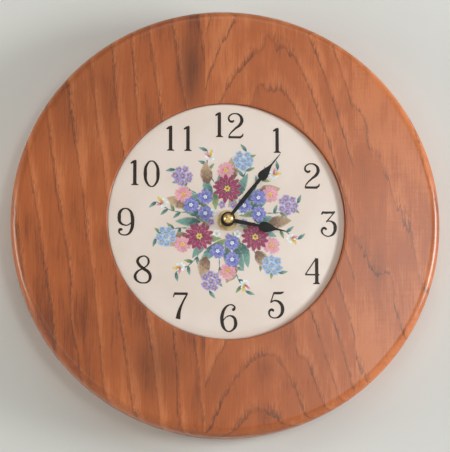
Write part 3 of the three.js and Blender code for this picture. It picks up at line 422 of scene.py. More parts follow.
def buildGrain():
    shares = dict.fromkeys(("Rings", "Thin", "Mark", "Tone", "Chatter", "Late"), "Float")
    group, given, out = newGroup("stainedGrain", {"Point": "Vector", "Shift": "Vector", **shares},
                                 {"Color": "Color", "Roughness": "Float", "Height": "Float"})
    point = vectorCalc("ADD", given["Point"], given["Shift"])

    def field(name):
        return noise(point, *grain[name][:2])

    def tilted(value, reach, base):  # a noise moves a value both ways
        return calc("MULTIPLY_ADD", calc("SUBTRACT", value, 0.5), reach, base)

    rings = given["Rings"]
    for sizes, reach in grain["drifts"]:
        rings = tilted(noise(point, sizes, grain["driftDetail"]), reach, rings)
    age = calc("DIVIDE", calc("FRACT", rings), given["Thin"])
    number = calc("FLOOR", rings)
    ringTone = addNode(group, "TexWhiteNoise", {"W": number}, noise_dimensions="1D").outputs["Value"]

    def mark(name):
        rise, fall, rest = grain["marks"][name]
        return calc("MULTIPLY", between(age, *rise), between(age, *fall, 1, rest))

    line, fibres = mark("line"), field("fibres")
    tone = tilted(ringTone, grain["ringTone"], 0.5)
    tone = tilted(fibres, grain["fibres"][2], tone)
    tone = tilted(field("chatter"), given["Chatter"], tone)
    for sizes, detail, reach in grain["tones"]:
        tone = tilted(noise(point, sizes, detail), reach, tone)
    tone = calc("ADD", calc("MULTIPLY_ADD", mark("late"), given["Late"], tone), given["Tone"])
    colour = ramp(tone, list(zip(grain["toneStops"], (panel["dark"], panel["middle"], panel["light"]))))
    faded = between(field("faded"), *grain["fadedSpan"])
    lineShare = calc("MULTIPLY", calc("MULTIPLY", line, faded),
                     calc("MULTIPLY_ADD", ringTone, grain["ringMark"], given["Mark"]))
    colour = mixColour(lineShare, colour, panel["line"])
    pores = calc("MULTIPLY", between(field("pores"), *grain["poreSpan"]), mark("pores"))
    pores = calc("MULTIPLY", pores, faded)
    colour = mixColour(calc("MULTIPLY", pores, grain["poreShare"]), colour, panel["pore"])
    sunk = calc("MULTIPLY_ADD", line, grain["lineDepth"], pores)
    height = calc("MULTIPLY_ADD", fibres, grain["fibreHeight"], calc("MULTIPLY", sunk, -1))
    rough = calc("MULTIPLY_ADD", pores, grain["poreRough"], grain["rough"])
    for value, name in ((colour, "Color"), (rough, "Roughness"), (height, "Height")):
        setSocket(out[name], value)
    return group


stainedGrain = buildGrain()


def softSpot(point, x, z, halfWidth, halfHeight, strength):  # strongest at the middle, nothing at the rim
    inputs = {"Vector": point, "Location": (-x / halfWidth, 0, -z / halfHeight),
              "Scale": (1 / halfWidth, 0, 1 / halfHeight)}
    reach = vectorCalc("LENGTH", addNode(point, "Mapping", inputs).outputs[0], output="Value")
    return between(reach, 0, 1, strength, 0)


def growthRings(point, plan):  # counted upwards, and outwards from the pith
    lean = math.radians(plan["lean"])
    across = vectorCalc("DOT_PRODUCT", point, (math.cos(lean), 0, math.sin(lean)), output="Value")
    across = calc("SUBTRACT", across, plan["pith"])
    across = calc("SQRT", calc("MULTIPLY_ADD", across, across, plan["flat"] ** 2))
    across = calc("POWER", calc("SUBTRACT", across, plan["flat"]), plan["power"])
    deep = vectorCalc("DOT_PRODUCT", point, (0, -plan["slope"], plan["tilt"]), output="Value")
    reach = calc("MULTIPLY_ADD", across, plan["spread"], deep)
    rings = calc("MULTIPLY_ADD", reach, 1 / plan["ringWidth"], plan["phase"])
    for swirl in plan["swirls"]:
        rings = calc("ADD", rings, softSpot(point, *swirl))
    return rings


def boardMaterial(name, plan):
    material, shader, point = newMaterial(name, panel)
    own = {key.capitalize(): plan[key] for key in ("thin", "mark", "tone", "chatter", "late", "shift")}
    looks = placeGroup(stainedGrain, {"Point": point, "Rings": growthRings(point, plan), **own})
    colour = looks["Color"]
    for spot in plan["spots"]:
        colour = mixColour(softSpot(point, *spot), colour, panel["spot"], blend="MULTIPLY")
    joinTo(shader, Base_Color=colour, Roughness=looks["Roughness"],
           Normal=bump(looks["Height"], panel["bump"], panel["bumpShare"]))
    return material


def panelBlank():
    radius, front, bore, margin = (panel[key] for key in ("radius", "thickness", "boreRadius", "flatMargin"))
    return turned([
        (panel["webHole"], front - panel["boreDepth"], 0),
        (bore, front - panel["boreDepth"], 0),
        (bore, front, panel["boreEase"]),
        (bore + panel["boreEase"] + margin, front, 0),
        (radius - panel["roundover"] - margin, front, 0),
        (radius, front, panel["roundover"]),
        (radius, panel["backEase"] + margin, 0),
        (radius, 0, panel["backEase"]),
        (radius - panel["backEase"] - margin, 0, 0),
        (panel["webHole"], 0, 0),
    ], panel["steps"])


def pocketCutter(side, bottom, top, depth, corner):  # a block with its upright corners rounded
    back = -panel["overrun"]
    size = Matrix.Diagonal((2 * side, depth - back, top - bottom, 1))
    bm = bmesh.new()
    bmesh.ops.create_cube(bm, size=1, matrix=Matrix.Translation((0, -(depth + back) / 2, (bottom + top) / 2)) @ size)
    upright = [edge for edge in bm.edges if abs(edge.verts[0].co.y - edge.verts[1].co.y) > mergeGap]
    easeEdges(bm, upright, corner, 6)
    return bm


def makeBoard(name, leftCut, rightCut):
    bm = panelBlank()
    cleanUp(bm)
    for cut, side in ((leftCut, -1), (rightCut, 1)):
        if cut is not None:
            sawOff(bm, (cut, 0, 0), (side, 0, 0))
    bmesh.ops.recalc_face_normals(bm, faces=bm.faces)
    pockets = [] if name == "board_right" else [panel["movementPocket"], panel["hangerPocket"]]
    bm = cutAway(bm, [pocketCutter(**pocket) for pocket in pockets])
    finishPiece(name.replace("_", "") + "Turned", bm, boardMaterial(name + "Wood", boardPlans[name]),
                "clock_base", "panel_wood", name)


cuts = (None, *panel["joints"], None)
for index, name in enumerate(boardPlans):
    makeBoard(name, cuts[index], cuts[index + 1])
print("panel turned")


# Dial: glazed ceramic with a rolled edge
dial = dict(
    face=27.4, back=21.4, radius=77.1, hole=4.87, holeEase=0.4, holeFlat=0.7, steps=192, skirt=22.2, foot=76.2,
    roll=((71.2, 27.4), (72.2, 27.34), (73.2, 27.18), (74.4, 26.9), (75.8, 26.5), (76.7, 26.1), (77.1, 25.4)),
    rollMean=0.6, rollSwing=0.4, wedge=0.014, wedgeFrom=23,
    glaze=(228, 210, 199), shaded=(223, 204, 191), speck=(196, 176, 150), coat=0.35, gloss=0.25, index=1.5,
    rough=(0.3, 0.42), cloudSize=34, cloudSpan=(0.35, 0.65), speckSize=1.1, speckSpan=(0.68, 0.78), speckShare=0.25,
    waveSize=5, bump=0.00004, bumpShare=0.6, bendFrom=67.2, bendStep=1.2)


def rollShare(x, z):  # the edge is rolled more on the right
    return dial["rollMean"] + dial["rollSwing"] * x / math.hypot(x, z)


def dialDrop(x, z):  # how far the glaze lies back: its edge is rolled, and it sits deeper on the right
    reach = math.hypot(x, z)
    drop = x * dial["wedge"]
    for (inner, high), (outer, low) in zip(dial["roll"], dial["roll"][1:]):
        if inner <= reach < outer:
            drop += (dial["face"] - high - (low - high) * (reach - inner) / (outer - inner)) * rollShare(x, z)
    return drop


def glazeMaterial():
    material, shader, point = newMaterial("creamGlaze", dial)
    cloud = noise(point, dial["cloudSize"], detail=3)
    speck = noise(point, dial["speckSize"])
    colour = mixColour(between(cloud, *dial["cloudSpan"]), dial["glaze"], dial["shaded"])
    speckShare = calc("MULTIPLY", between(speck, *dial["speckSpan"]), dial["speckShare"])
    colour = mixColour(speckShare, colour, dial["speck"])
    return dress(material, shader, dial, colour, speck, noise(point, dial["waveSize"]))


def makeDial():
    face, hole, easing = dial["face"], dial["hole"], dial["holeEase"]
    profile = [(hole, face, easing), (hole + dial["holeFlat"], face, 0), (dial["roll"][0][0] - easing, face, 0)]
    profile += [(reach, depth, 0) for reach, depth in dial["roll"]]
    profile += [(dial["radius"], dial["skirt"], 0), (dial["foot"], dial["back"], 0), (hole, dial["back"], 0.3)]
    bm = turned(profile, dial["steps"])
    for vert in bm.verts:
        if -vert.co.y > dial["wedgeFrom"]:
            rolled = face + vert.co.y
            vert.co.y += vert.co.x * dial["wedge"] - rolled * (1 - rollShare(vert.co.x, vert.co.z))
    finishPiece("glazedDial", bm, glazeMaterial(), "clock_base", "dial_glaze", "dial", sharpAngle=50)


makeDial()


# Numbers: plain serif figures printed on the glaze, each stroke as x, y, half width
numbers = dict(ink=(46, 34, 27), worn=(66, 52, 44), thickness=0.08, sink=0.01, bold=1.1, spread=0.06, lift=0.003,
               detail=7, coat=0.05, gloss=0.2, shine=0.2, rough=(0.35, 0.5), patchSize=1.4, wornSpan=(0.5, 0.8),
               bump=0.00002, closed="80")
figures = {
    "1": [
        [(.35, 8.0, .95), (.35, -8.1, .95)],
        [(1.2, 8.0, .45), (-.5, 7.1, .7), (-2.3, 6.1, .35)],
        [(-1.95, -7.95, .25), (2.75, -7.95, .25)],
        [(.35, -6.8, .95), (.35, -8.1, 1.8)]],
    "2": [
        [(-.9, 3.5, .35), (-2.0, 2.7, .68), (-3.6, 3.0, .6), (-4.4, 5.2, .48), (-3.0, 7.2, .36), (-.2, 8.0, .32),
         (2.7, 7.0, .6), (4.2, 3.9, .95), (3.2, 1.0, .85), (-.3, -2.1, .5), (-3.6, -5.6, .32), (-4.4, -7.4, .25)],
        [(-4.6, -7.7, .65), (3.6, -7.7, .65)],
        [(3.0, -7.6, .6), (4.4, -6.7, .5), (5.0, -5.2, .2)]],
    "3": [
        [(-3.9, 7.4, .6), (-1.5, 7.2, .68), (1.0, 7.3, .58), (2.6, 7.25, .68), (4.3, 7.9, .35)],
        [(-4.7, 5.9, .3), (-3.5, 7.5, .7)],
        [(4.1, 7.7, .27), (-1.5, 1.0, .35)],
        [(-.9, 1.6, .2), (1.3, 1.6, .35), (3.5, .2, .8), (4.3, -2.6, 1.0), (3.3, -6.3, .75), (.6, -8.2, .35),
         (-2.6, -7.7, .3), (-4.5, -5.3, .5), (-4.0, -3.5, .6), (-2.9, -2.9, .68), (-1.9, -3.4, .62),
         (-1.6, -4.2, .4)]],
    "4": [
        [(3.2, 8.1, .95), (3.2, -8.5, .95)],
        [(-4.35, -2.65, .42), (4.9, -2.65, .42)],
        [(2.9, 8.1, .3), (-4.2, -2.5, .3)],
        [(.8, -8.5, .25), (5.2, -8.5, .25)],
        [(3.2, -7.2, .95), (3.2, -8.5, 1.7)]],
    "5": [
        [(-1.3, 7.7, .65), (1.6, 7.7, .75), (3.6, 7.9, .65), (5.1, 8.5, .3)],
        [(-1.2, 8.2, .3), (-3.4, 1.4, .3)],
        [(-3.4, 1.4, .2), (-2.2, 2.4, .38), (-.2, 2.8, .48), (2.9, 1.2, .82), (4.3, -2.5, 1.0), (3.0, -6.6, .75),
         (-.6, -8.4, .32), (-3.6, -7.4, .35), (-4.5, -5.2, .48), (-3.9, -3.6, .6), (-2.8, -3.0, .68),
         (-1.9, -3.5, .62), (-1.6, -4.3, .4)]],
    "6": [
        [(2.7, 4.9, .5), (3.5, 5.5, .85), (4.2, 6.7, .55), (3.3, 8.1, .38), (1.0, 8.5, .33), (-2.0, 6.3, .68),
         (-3.7, 2.4, .92), (-4.0, -1.6, 1.0), (-3.1, -5.8, .85), (-1.3, -8.1, .48), (.4, -8.7, .35),
         (3.0, -7.6, .55), (4.6, -5.2, .88), (4.8, -2.6, .95), (3.8, .2, .72), (1.4, 1.4, .38),
         (-1.2, .6, .28), (-3.2, -1.8, .22)]],
    "7": [
        [(-3.8, 7.6, .7), (5.0, 7.6, .7)],
        [(-3.6, 7.4, .4), (-4.3, 5.2, .2)],
        [(4.4, 7.0, .38), (1.8, 2.0, .5), (-.3, -3.3, .85), (-1.3, -8.7, 1.35)]],
    "8": [
        [(.6, 8.3, .32), (-3.0, 5.6, .75), (-2.0, 2.6, .8), (.6, .3, .85), (4.0, -2.2, .85), (5.1, -5.2, .85),
         (3.6, -8.3, .5), (.6, -9.1, .33), (-2.6, -8.3, .48), (-4.6, -5.4, .85), (-3.6, -2.3, .6), (.4, .4, .32),
         (3.0, 2.2, .38), (4.1, 4.9, .6), (3.0, 7.4, .42)]],
    "9": [
        [(3.3, -.6, .28), (1.4, -2.1, .33), (-.9, -2.2, .38), (-3.6, -.6, .75), (-4.3, 3.0, 1.0),
         (-3.5, 6.8, .75), (-.4, 8.6, .33), (2.6, 7.2, .6), (4.1, 3.4, .95), (4.3, -.6, 1.0), (3.6, -5.0, .85),
         (1.7, -7.9, .5), (-.7, -8.7, .33), (-3.6, -7.9, .38), (-4.4, -6.4, .5), (-3.8, -5.2, .82),
         (-2.9, -5.1, .7), (-2.3, -5.6, .4)]],
    "0": [
        [(0, 8.4, .3), (-3.0, 6.0, .62), (-4.1, 0, 1.0), (-3.0, -6.0, .62), (0, -8.4, .3), (3.0, -6.0, .62),
         (4.1, 0, 1.0), (3.0, 6.0, .62)]],
}
places = [
    (1.05, 63.15, [("1", -6.4, 0), ("2", 4.5, -.5)]), (32.45, 53.3, [("1", 0, 0)]), (55.4, 30.1, [("2", 0, 0)]),
    (66.15, -1.25, [("3", 0, 0)]), (54.9, -32.15, [("4", 0, 0)]), (31.4, -54.7, [("5", 0, 0)]),
    (.45, -63.35, [("6", 0, 0)]), (-30.6, -55.5, [("7", 0, 0)]), (-54.85, -32.05, [("8", 0, 0)]),
    (-65.55, -1.5, [("9", 0, 0)]), (-53.55, 30.7, [("1", -6.75, 0), ("0", 4.5, -.6)]),
    (-31.7, 53.7, [("1", -5.45, 0), ("1", 5.85, 0)]),
]


def inkMaterial():
    material, shader, point = newMaterial("numberInk", numbers)
    patchy = noise(point, numbers["patchSize"], detail=4)
    colour = mixColour(between(patchy, *numbers["wornSpan"]), numbers["ink"], numbers["worn"])
    return dress(material, shader, numbers, colour, patchy, patchy)


def onTheGlaze(bm, plan):  # a flat drawing gets its thickness and lies down on the dial
    for face in bm.faces:
        if face.normal.z < 0:
            face.normal_flip()
    top = max(vert.co.z for vert in bm.verts)
    bmesh.ops.solidify(bm, geom=bm.faces[:], thickness=plan["thickness"])
    grown = max(vert.co.z for vert in bm.verts) - top
    bmesh.ops.recalc_face_normals(bm, faces=bm.faces)
    for cuts in (2, 1):
        longEdges = [edge for edge in bm.edges if edge.calc_length() > dial["bendStep"] and
                     max(vert.co.xy.length for vert in edge.verts) > dial["bendFrom"]]
        bmesh.ops.subdivide_edges(bm, edges=longEdges, cuts=cuts, use_grid_fill=True)
    lift = dial["face"] + plan["thickness"] - plan["sink"] - grown
    bmesh.ops.transform(bm, matrix=faceForward @ Matrix.Translation((0, 0, lift)), verts=bm.verts)
    for vert in bm.verts:
        vert.co.y += dialDrop(vert.co.x, vert.co.z)


def makeNumbers():
    bm = bmesh.new()
    for centreX, centreY, digits in places:
        for digit, shiftX, shiftY in digits:
            for index, stroke in enumerate(figures[digit]):
                broad = [(x, y, numbers["bold"] * half + numbers["spread"]) for x, y, half in stroke]
                place = (centreX + shiftX, centreY + shiftY, index * numbers["lift"])
                addStroke(bm, broad, place, numbers["detail"], digit in numbers["closed"])
    bmesh.ops.remove_doubles(bm, verts=bm.verts, dist=fineGap)
    onTheGlaze(bm, numbers)
    finishPiece("dialNumbers", bm, inkMaterial(), "clock_base", "black_paint", merge=False)


makeNumbers()
print("dial and numbers ready")


# Garland printed on the glaze: petals and leaves laid over each other round the centre
garland = dict(
    thickness=0.02, sink=0.01, lift=0.0007, seed=7, coat=0.15, gloss=0.2, shine=0.35, rough=(0.32, 0.46),
    washSize=1.8, washReach=0.9, washSpan=(0.1, 0.85), veins=9, veinSpan=(0.5, 0.72, 0, 0.45), rimSpan=(0.3, 0.5),
    paleSpan=(0.35, 0.6, 0, 0.5), bump=0.00001,
    shapes=dict(round=(0.62, 0.42), pointed=(0.75, 1.05), slim=(0.5, 0.6), heart=(0.8, 0.34)),
    notch=0.16, shade=(0.88, 1.1), smallBloom=4, ringShrink=0.24, petalWander=0.08, petalLength=(0.93, 1.03),
    petalWidth=4.2, eyeLength=0.26, eyeWidth=0.2, eyePetals=5,
    stem=dict(count=12, reach=22, start=15, joints=7, step=4.2, sway=3.4, halfWidth=0.42, leaf=(6.5, 2.4), lean=0.8,
              bend=0.12),
    leaves=(  # rings of leaves: how many, how far out, first angle, wander, turned by, twist, length and width, bend
        dict(ring=(18, 17, 5, 0.06), turn=0, twist=0.3, size=(17, 6.4), ink="teal", bend=0.2),
        dict(ring=(9, 27, 12, 0.08), turn=0, twist=0.5, size=(15, 8.2), ink="tan", bend=0.15),
        dict(ring=(14, 21, 0, 0.1), turn=math.pi, twist=0.5, size=(13, 4.6), ink="olive", bend=0.2)),
    leafLevel=0.02,
)
inks = dict(  # colour of the rim, colour of the heart
    crimson=((158, 58, 96), (88, 26, 60)), rose=((226, 160, 172), (190, 76, 108)),
    violet=((124, 128, 198), (66, 68, 150)), sky=((164, 194, 224), (104, 136, 196)),
    lilac=((176, 160, 206), (112, 90, 156)), white=((240, 240, 240), (188, 204, 208)),
    teal=((124, 164, 152), (58, 96, 96)), olive=((146, 164, 112), (84, 112, 76)),
    tan=((190, 160, 128), (118, 88, 72)), yellow=((236, 206, 96), (202, 150, 56)), dark=((84, 62, 60), (52, 40, 44)),
)
blooms = dict(
    # where they stand: how many, how far out, first angle, wander
    clusterRing=(6, 41, 15), clusterParts=(7, 4.6), clusterTurn=(0, 50), clusterWander=0.2, budRing=(6, 43, 45),
    roseRing=(6, 33, 0, 0.04), violetRing=(3, 20, 60), violetParts=(3, 6.2, 30), crimsonRing=(3, 21, 0),
    smallRing=(9, 10.8, 20, 0.1),
    cluster=dict(petals=5), clusterSize=(2.3, 2.9), clusterLevels=(0.05, 0.008, 4),
    sprigs=((0.5, 5.6, 2.0, "yellow"), (-0.6, 5.0, 1.8, "rose")),  # turned by, length, width
    bud=dict(radius=3.4, petals=9, ink="white", base=0.05, shape="slim"),
    rose=dict(radius=6.0, petals=7, ink="rose", base=0.09, shape="heart", rings=3),
    violet=dict(radius=5.4, petals=5, ink="violet", shape="heart", rings=2, eye="white"), violetLevels=(0.11, 0.012),
    crimson=dict(radius=9.6, petals=13, ink="crimson", base=0.13, rings=3, eye="dark"),
    crimsonHeart=dict(radius=2.2, petals=6, ink="yellow", base=0.17, shape="slim", eye="dark"),
    small=dict(radius=2.6, petals=5, base=0.06),
)
petalBm = bmesh.new()
petalBm.loops.layers.uv.new("UVMap")
tintLayer = petalBm.verts.layers.float_color.new("tint")
heartLayer = petalBm.verts.layers.float_color.new("heart")
dice = random.Random(garland["seed"])
level = [0.0]


def layPetal(x, y, angle, length, width, ink, shape="round", bend=0.0, segments=(4, 6)):
    rise, fall = garland["shapes"][shape]
    peak = rise / (rise + fall)
    peakWidth = peak ** rise * (1 - peak) ** fall
    made = bmesh.ops.create_grid(petalBm, x_segments=segments[0], y_segments=segments[1], size=0.5, calc_uvs=True)
    tint, heart = (screenColour(*colour) for colour in inks[ink])
    shade = dice.uniform(*garland["shade"])
    for vert in made["verts"]:
        along = 0.02 + 0.96 * (vert.co.y + 0.5)
        across = 2 * vert.co.x * along ** rise * (1 - along) ** fall / peakWidth
        notch = garland["notch"] * (1 - abs(2 * vert.co.x)) * along if shape == "heart" else 0
        vert.co.x = across * width / 2 + bend * along * along * length
        vert.co.y = (along - notch) * length
        vert.co.z = level[0]
        vert[tintLayer] = tuple(min(1, shade * value) for value in tint[:3]) + (1,)
        vert[heartLayer] = heart
    level[0] += garland["lift"]
    turn = Matrix.Translation((x, y, 0)) @ Matrix.Rotation(-angle, 4, "Z")
    bmesh.ops.transform(petalBm, matrix=turn, verts=made["verts"])


def around(count, reach, start=0.0, wander=0.0):
    for index in range(count):
        angle = math.radians(start) + fullTurn * index / count + dice.uniform(-wander, wander)
        yield reach * math.sin(angle), reach * math.cos(angle), angle


def layBlossom(x, y, radius, petals, ink, base, shape="round", rings=1, eye="yellow"):
    level[0] = base
    first = dice.uniform(0, fullTurn)
    wander, shortest, longest = garland["petalWander"], *garland["petalLength"]
    for ring in range(rings):
        size = radius * (1 - garland["ringShrink"] * ring)
        for index in range(petals):
            angle = first + fullTurn * (index + 0.5 * ring) / petals + dice.uniform(-wander, wander)
            layPetal(x, y, angle, size * dice.uniform(shortest, longest), size * garland["petalWidth"] / petals,
                     ink, shape, segments=(4, 6) if radius > garland["smallBloom"] else (2, 4))
    for index in range(garland["eyePetals"]):
        layPetal(x, y, first + fullTurn * index / garland["eyePetals"], radius * garland["eyeLength"],
                 radius * garland["eyeWidth"], eye, segments=(2, 3))


def layStems():
    stem = garland["stem"]
    for x, y, angle in around(stem["count"], stem["reach"], stem["start"]):
        level[0] = 0.0
        outward = Vector((math.sin(angle), math.cos(angle)))
        aside = Vector((outward.y, -outward.x)) * (1 if math.cos(6 * angle) > 0 else -1)
        path = [Vector((x, y)) + outward * step * stem["step"] + aside * stem["sway"] * math.sin(step * 0.5)
                for step in range(stem["joints"])]
        for first, second in zip(path, path[1:]):
            gap = second - first
            layPetal(*first, math.atan2(gap.x, gap.y), gap.length * 1.15, stem["halfWidth"] * 2, "teal", "slim",
                     segments=(1, 4))
        for index, point in enumerate(path[2:]):
            side = 1 if index % 2 else -1
            layPetal(*point, angle + side * stem["lean"], *stem["leaf"], "olive" if index % 2 else "teal",
                     "pointed", stem["bend"] * side)


def layLeaves():
    level[0] = garland["leafLevel"]
    for leaf in garland["leaves"]:
        twist, bend = leaf["twist"], leaf["bend"]
        for x, y, angle in around(*leaf["ring"]):
            layPetal(x, y, angle + leaf["turn"] + dice.uniform(-twist, twist), *leaf["size"], leaf["ink"], "pointed",
                     dice.uniform(-bend, bend))


def layBlooms():
    base, rise, levels = blooms["clusterLevels"]
    for x, y, angle in around(*blooms["clusterRing"]):
        ink = "sky" if math.cos(3 * angle) > 0 else "lilac"
        parts = around(*blooms["clusterParts"], dice.uniform(*blooms["clusterTurn"]), blooms["clusterWander"])
        for index, (offsetX, offsetY, _) in enumerate([(0, 0, 0), *parts]):
            layBlossom(x + offsetX, y + offsetY, dice.uniform(*blooms["clusterSize"]), ink=ink,
                       base=base + rise * (index % levels), **blooms["cluster"])
    for x, y, angle in around(*blooms["budRing"]):
        layBlossom(x, y, **blooms["bud"])
        for turn, length, width, ink in blooms["sprigs"]:
            layPetal(x, y, angle + turn, length, width, ink, "pointed")
    for x, y, _ in around(*blooms["roseRing"]):
        layBlossom(x, y, **blooms["rose"])
    base, rise = blooms["violetLevels"]
    for x, y, _ in around(*blooms["violetRing"]):
        for index, (offsetX, offsetY, _) in enumerate(around(*blooms["violetParts"])):
            layBlossom(x + offsetX, y + offsetY, base=base + rise * index, **blooms["violet"])
    for x, y, _ in around(*blooms["crimsonRing"]):
        layBlossom(x, y, **blooms["crimson"])
        layBlossom(x, y, **blooms["crimsonHeart"])
    for index, (x, y, _) in enumerate(around(*blooms["smallRing"])):
        layBlossom(x, y, ink="white" if index % 2 else "lilac", **blooms["small"])


def petalMaterial():
    material, shader, point = newMaterial("petalInk", garland)
    place = axes(addNode(point, "TexCoord").outputs["UV"])
    across, along = place["X"], place["Y"]
    tint, heart = (addNode(point, "Attribute", attribute_name=name).outputs["Color"] for name in ("tint", "heart"))
    wash = noise(point, garland["washSize"], detail=3)
    veinPlace = addNode(point, "CombineXYZ", {"X": calc("MULTIPLY", across, garland["veins"]), "Y": along})
    vein = noise(veinPlace.outputs[0], 1)
    rise = calc("MULTIPLY_ADD", calc("SUBTRACT", wash, 0.5), garland["washReach"], along)
    colour = mixColour(between(rise, *garland["washSpan"]), heart, tint)
    colour = mixColour(between(vein, *garland["veinSpan"]), colour, heart)
    rim = calc("ABSOLUTE", calc("SUBTRACT", across, 0.5))
    pale = calc("MULTIPLY", between(rim, *garland["rimSpan"]), between(wash, *garland["paleSpan"]))
    colour = mixColour(pale, colour, dial["glaze"])
    return dress(material, shader, garland, colour, wash, vein)


layStems()
layLeaves()
layBlooms()
onTheGlaze(petalBm, garland)
finishPiece("printedGarland", petalBm, petalMaterial(), "clock_base", "dial_glaze", merge=False)
print("garland ready")


# Hands: stamped spades, matt black; outlines as distance from the centre, half width, soft or sharp
hands = dict(
    hour=dict(angle=101, back=32.2, bore=3.55, outline=[
        (0, 1.4, 0), (4.5, 1.4, 1), (13, 1.22, 1), (20.5, .95, 0), (20.9, 1.9, 1), (22.5, 3.0, 1), (24.9, 3.4, 1),
        (27, 2.9, 1), (29.2, 2.0, 1), (31.6, .85, 1), (34, .55, 1), (38.6, .22, 0)]),
    minute=dict(angle=38.4, back=35.4, bore=1.3, outline=[
        (0, 1.0, 0), (5, 1.05, 1), (17, 1.42, 1), (33.2, .98, 0), (33.6, 1.8, 1), (34.8, 2.85, 1), (36.6, 3.15, 1),
        (39, 2.55, 1), (41.4, 1.7, 1), (45, .68, 1), (49, .47, 1), (54.7, .2, 0)]),
    collet=[(2.82, 31.6, 0), (4.0, 31.6, 0.1), (4.0, 32.2, 0.1), (3.5, 32.2, 0), (3.5, 33.6, 0.25), (2.82, 33.6, 0.15)],
    thickness=0.5, edge=0.12, land=0.03, hub=4.55, seat=0.01, steps=64, boreSteps=48,
    paint=(17, 16, 16), worn=(44, 40, 38), wornSpan=(0.35, 0.7, 0, 0.35), shine=0.35, index=1.45, rough=(0.45, 0.6),
    bump=0.00003, bumpShare=0.6, textureSize=0.35, cloudSize=3,
)


def paintMaterial():
    material, shader, point = newMaterial("mattBlackPaint", hands)
    texture = noise(point, hands["textureSize"], detail=3)
    cloud = noise(point, hands["cloudSize"])
    colour = mixColour(between(cloud, *hands["wornSpan"]), hands["paint"], hands["worn"])
    return dress(material, shader, hands, colour, texture, texture)


def makeHand(name, plan, body, node):
    back, bore, half = plan["back"], plan["bore"], hands["thickness"] / 2
    front = back + hands["thickness"]
    sides = [(along, width, 1, "AUTO" if soft else "VECTOR") for along, width, soft in plan["outline"]]
    sides = [(width, along, one, kind) for along, width, one, kind in sides] + [
        (-width, along, one, kind) for along, width, one, kind in reversed(sides)]
    obj = newCurve(sides, True, dimensions="2D", fill_mode="BOTH", extrude=half - hands["edge"] - hands["land"],
                   bevel_depth=hands["edge"], bevel_resolution=2, offset=-hands["edge"], resolution_u=8)
    turn = Matrix.Rotation(-math.radians(plan["angle"]), 4, "Z")
    blade = bmesh.new()
    addMesh(blade, meshFrom(obj), Matrix.Translation((0, -back - half, 0)) @ faceForward @ turn)
    cleanUp(blade)
    hole = turned([(0, front + 1, 0), (bore, front + 1, 0), (bore, back - 1, 0), (0, back - 1, 0)],
                  hands["boreSteps"], closed=False)
    blade = cutAway(blade, [hole])
    inner = bore + hands["seat"]
    addPart(blade, turned([(inner, front, 0.1), (hands["hub"], front, 0.14), (hands["hub"], back, 0.1),
                           (inner, back, 0)], hands["steps"]))
    finishPiece(name, blade, blackPaint, body, "black_paint", node)


blackPaint = paintMaterial()
makeHand("hourSpade", hands["hour"], "hour_group", "hour_hand")
makeHand("minuteSpade", hands["minute"], "minute_group", "minute_hand")
finishPiece("hourCollet", turned(hands["collet"], hands["steps"]), blackPaint, "hour_group", "black_paint",
            "hour_hand_collet")
print("hands ready")


# Brass: cap nut, washer, hex nut and the threaded bush; profiles as radius, depth, rounding
brass = dict(
    steps=96, ringSize=(0.12, 0.12, 1), ringSpan=(0.35, 0.7), cloudSize=2.6, tarnishSpan=(0.52, 0.8, 0, 0.55),
    roughSpan=(0.3, 0.75),
    # each finish's second colour is painted on the raised turning rings as a painted sheen; tarnish is the brass's own
    polished=dict(metal=1.0, colour=(206, 172, 108), bright=(236, 210, 150), tarnish=(140, 108, 66),
                  rough=(0.2, 0.42), bump=0.00002),
    dull=dict(metal=1.0, colour=(188, 164, 118), bright=(208, 186, 142), tarnish=(132, 108, 76),
              rough=(0.42, 0.6), bump=0.00002),
    capNut=[(0, 38.6, 0), (1.5, 38.6, 0.2), (1.5, 35.9, 0.1), (3.42, 35.9, 0.12), (3.42, 36.75, 0.18),
            (3.28, 36.9, 0.08), (3.2, 37.6, 1.2), (1.9, 38.95, 1.4), (0, 39.29, 0)],
    washer=[(4.27, 28.2, 0.12), (6.7, 28.2, 0.25), (6.7, 27.4, 0.1), (4.27, 27.4, 0.1)],
)


def brassMaterial(name, plan):
    material, shader, point = newMaterial(name, plan)
    place = axes(point)
    squares = [calc("MULTIPLY", place[axis], place[axis]) for axis in "XZ"]
    reach = calc("SQRT", calc("ADD", *squares))
    ringPlace = addNode(point, "CombineXYZ", {"X": reach, "Y": place["Y"]}).outputs[0]
    rings = noise(ringPlace, brass["ringSize"])
    cloud = noise(point, brass["cloudSize"], detail=3)
    # raised turning rings painted lighter: a painted sheen standing in for the rings' reflection
    colour = mixColour(between(rings, *brass["ringSpan"]), plan["colour"], plan["bright"])
    colour = mixColour(between(cloud, *brass["tarnishSpan"]), colour, plan["tarnish"])
    return dress(material, shader, plan, colour, cloud, rings, brass["roughSpan"])


nut = dict(flats=10, back=28.2, front=30.4, slope=0.577, bore=4.05, boreEase=0.8, easeDepth=0.3, beyond=0.5, ease=0.06,
           cutterWidth=3.2, bite=0.2, steps=48)


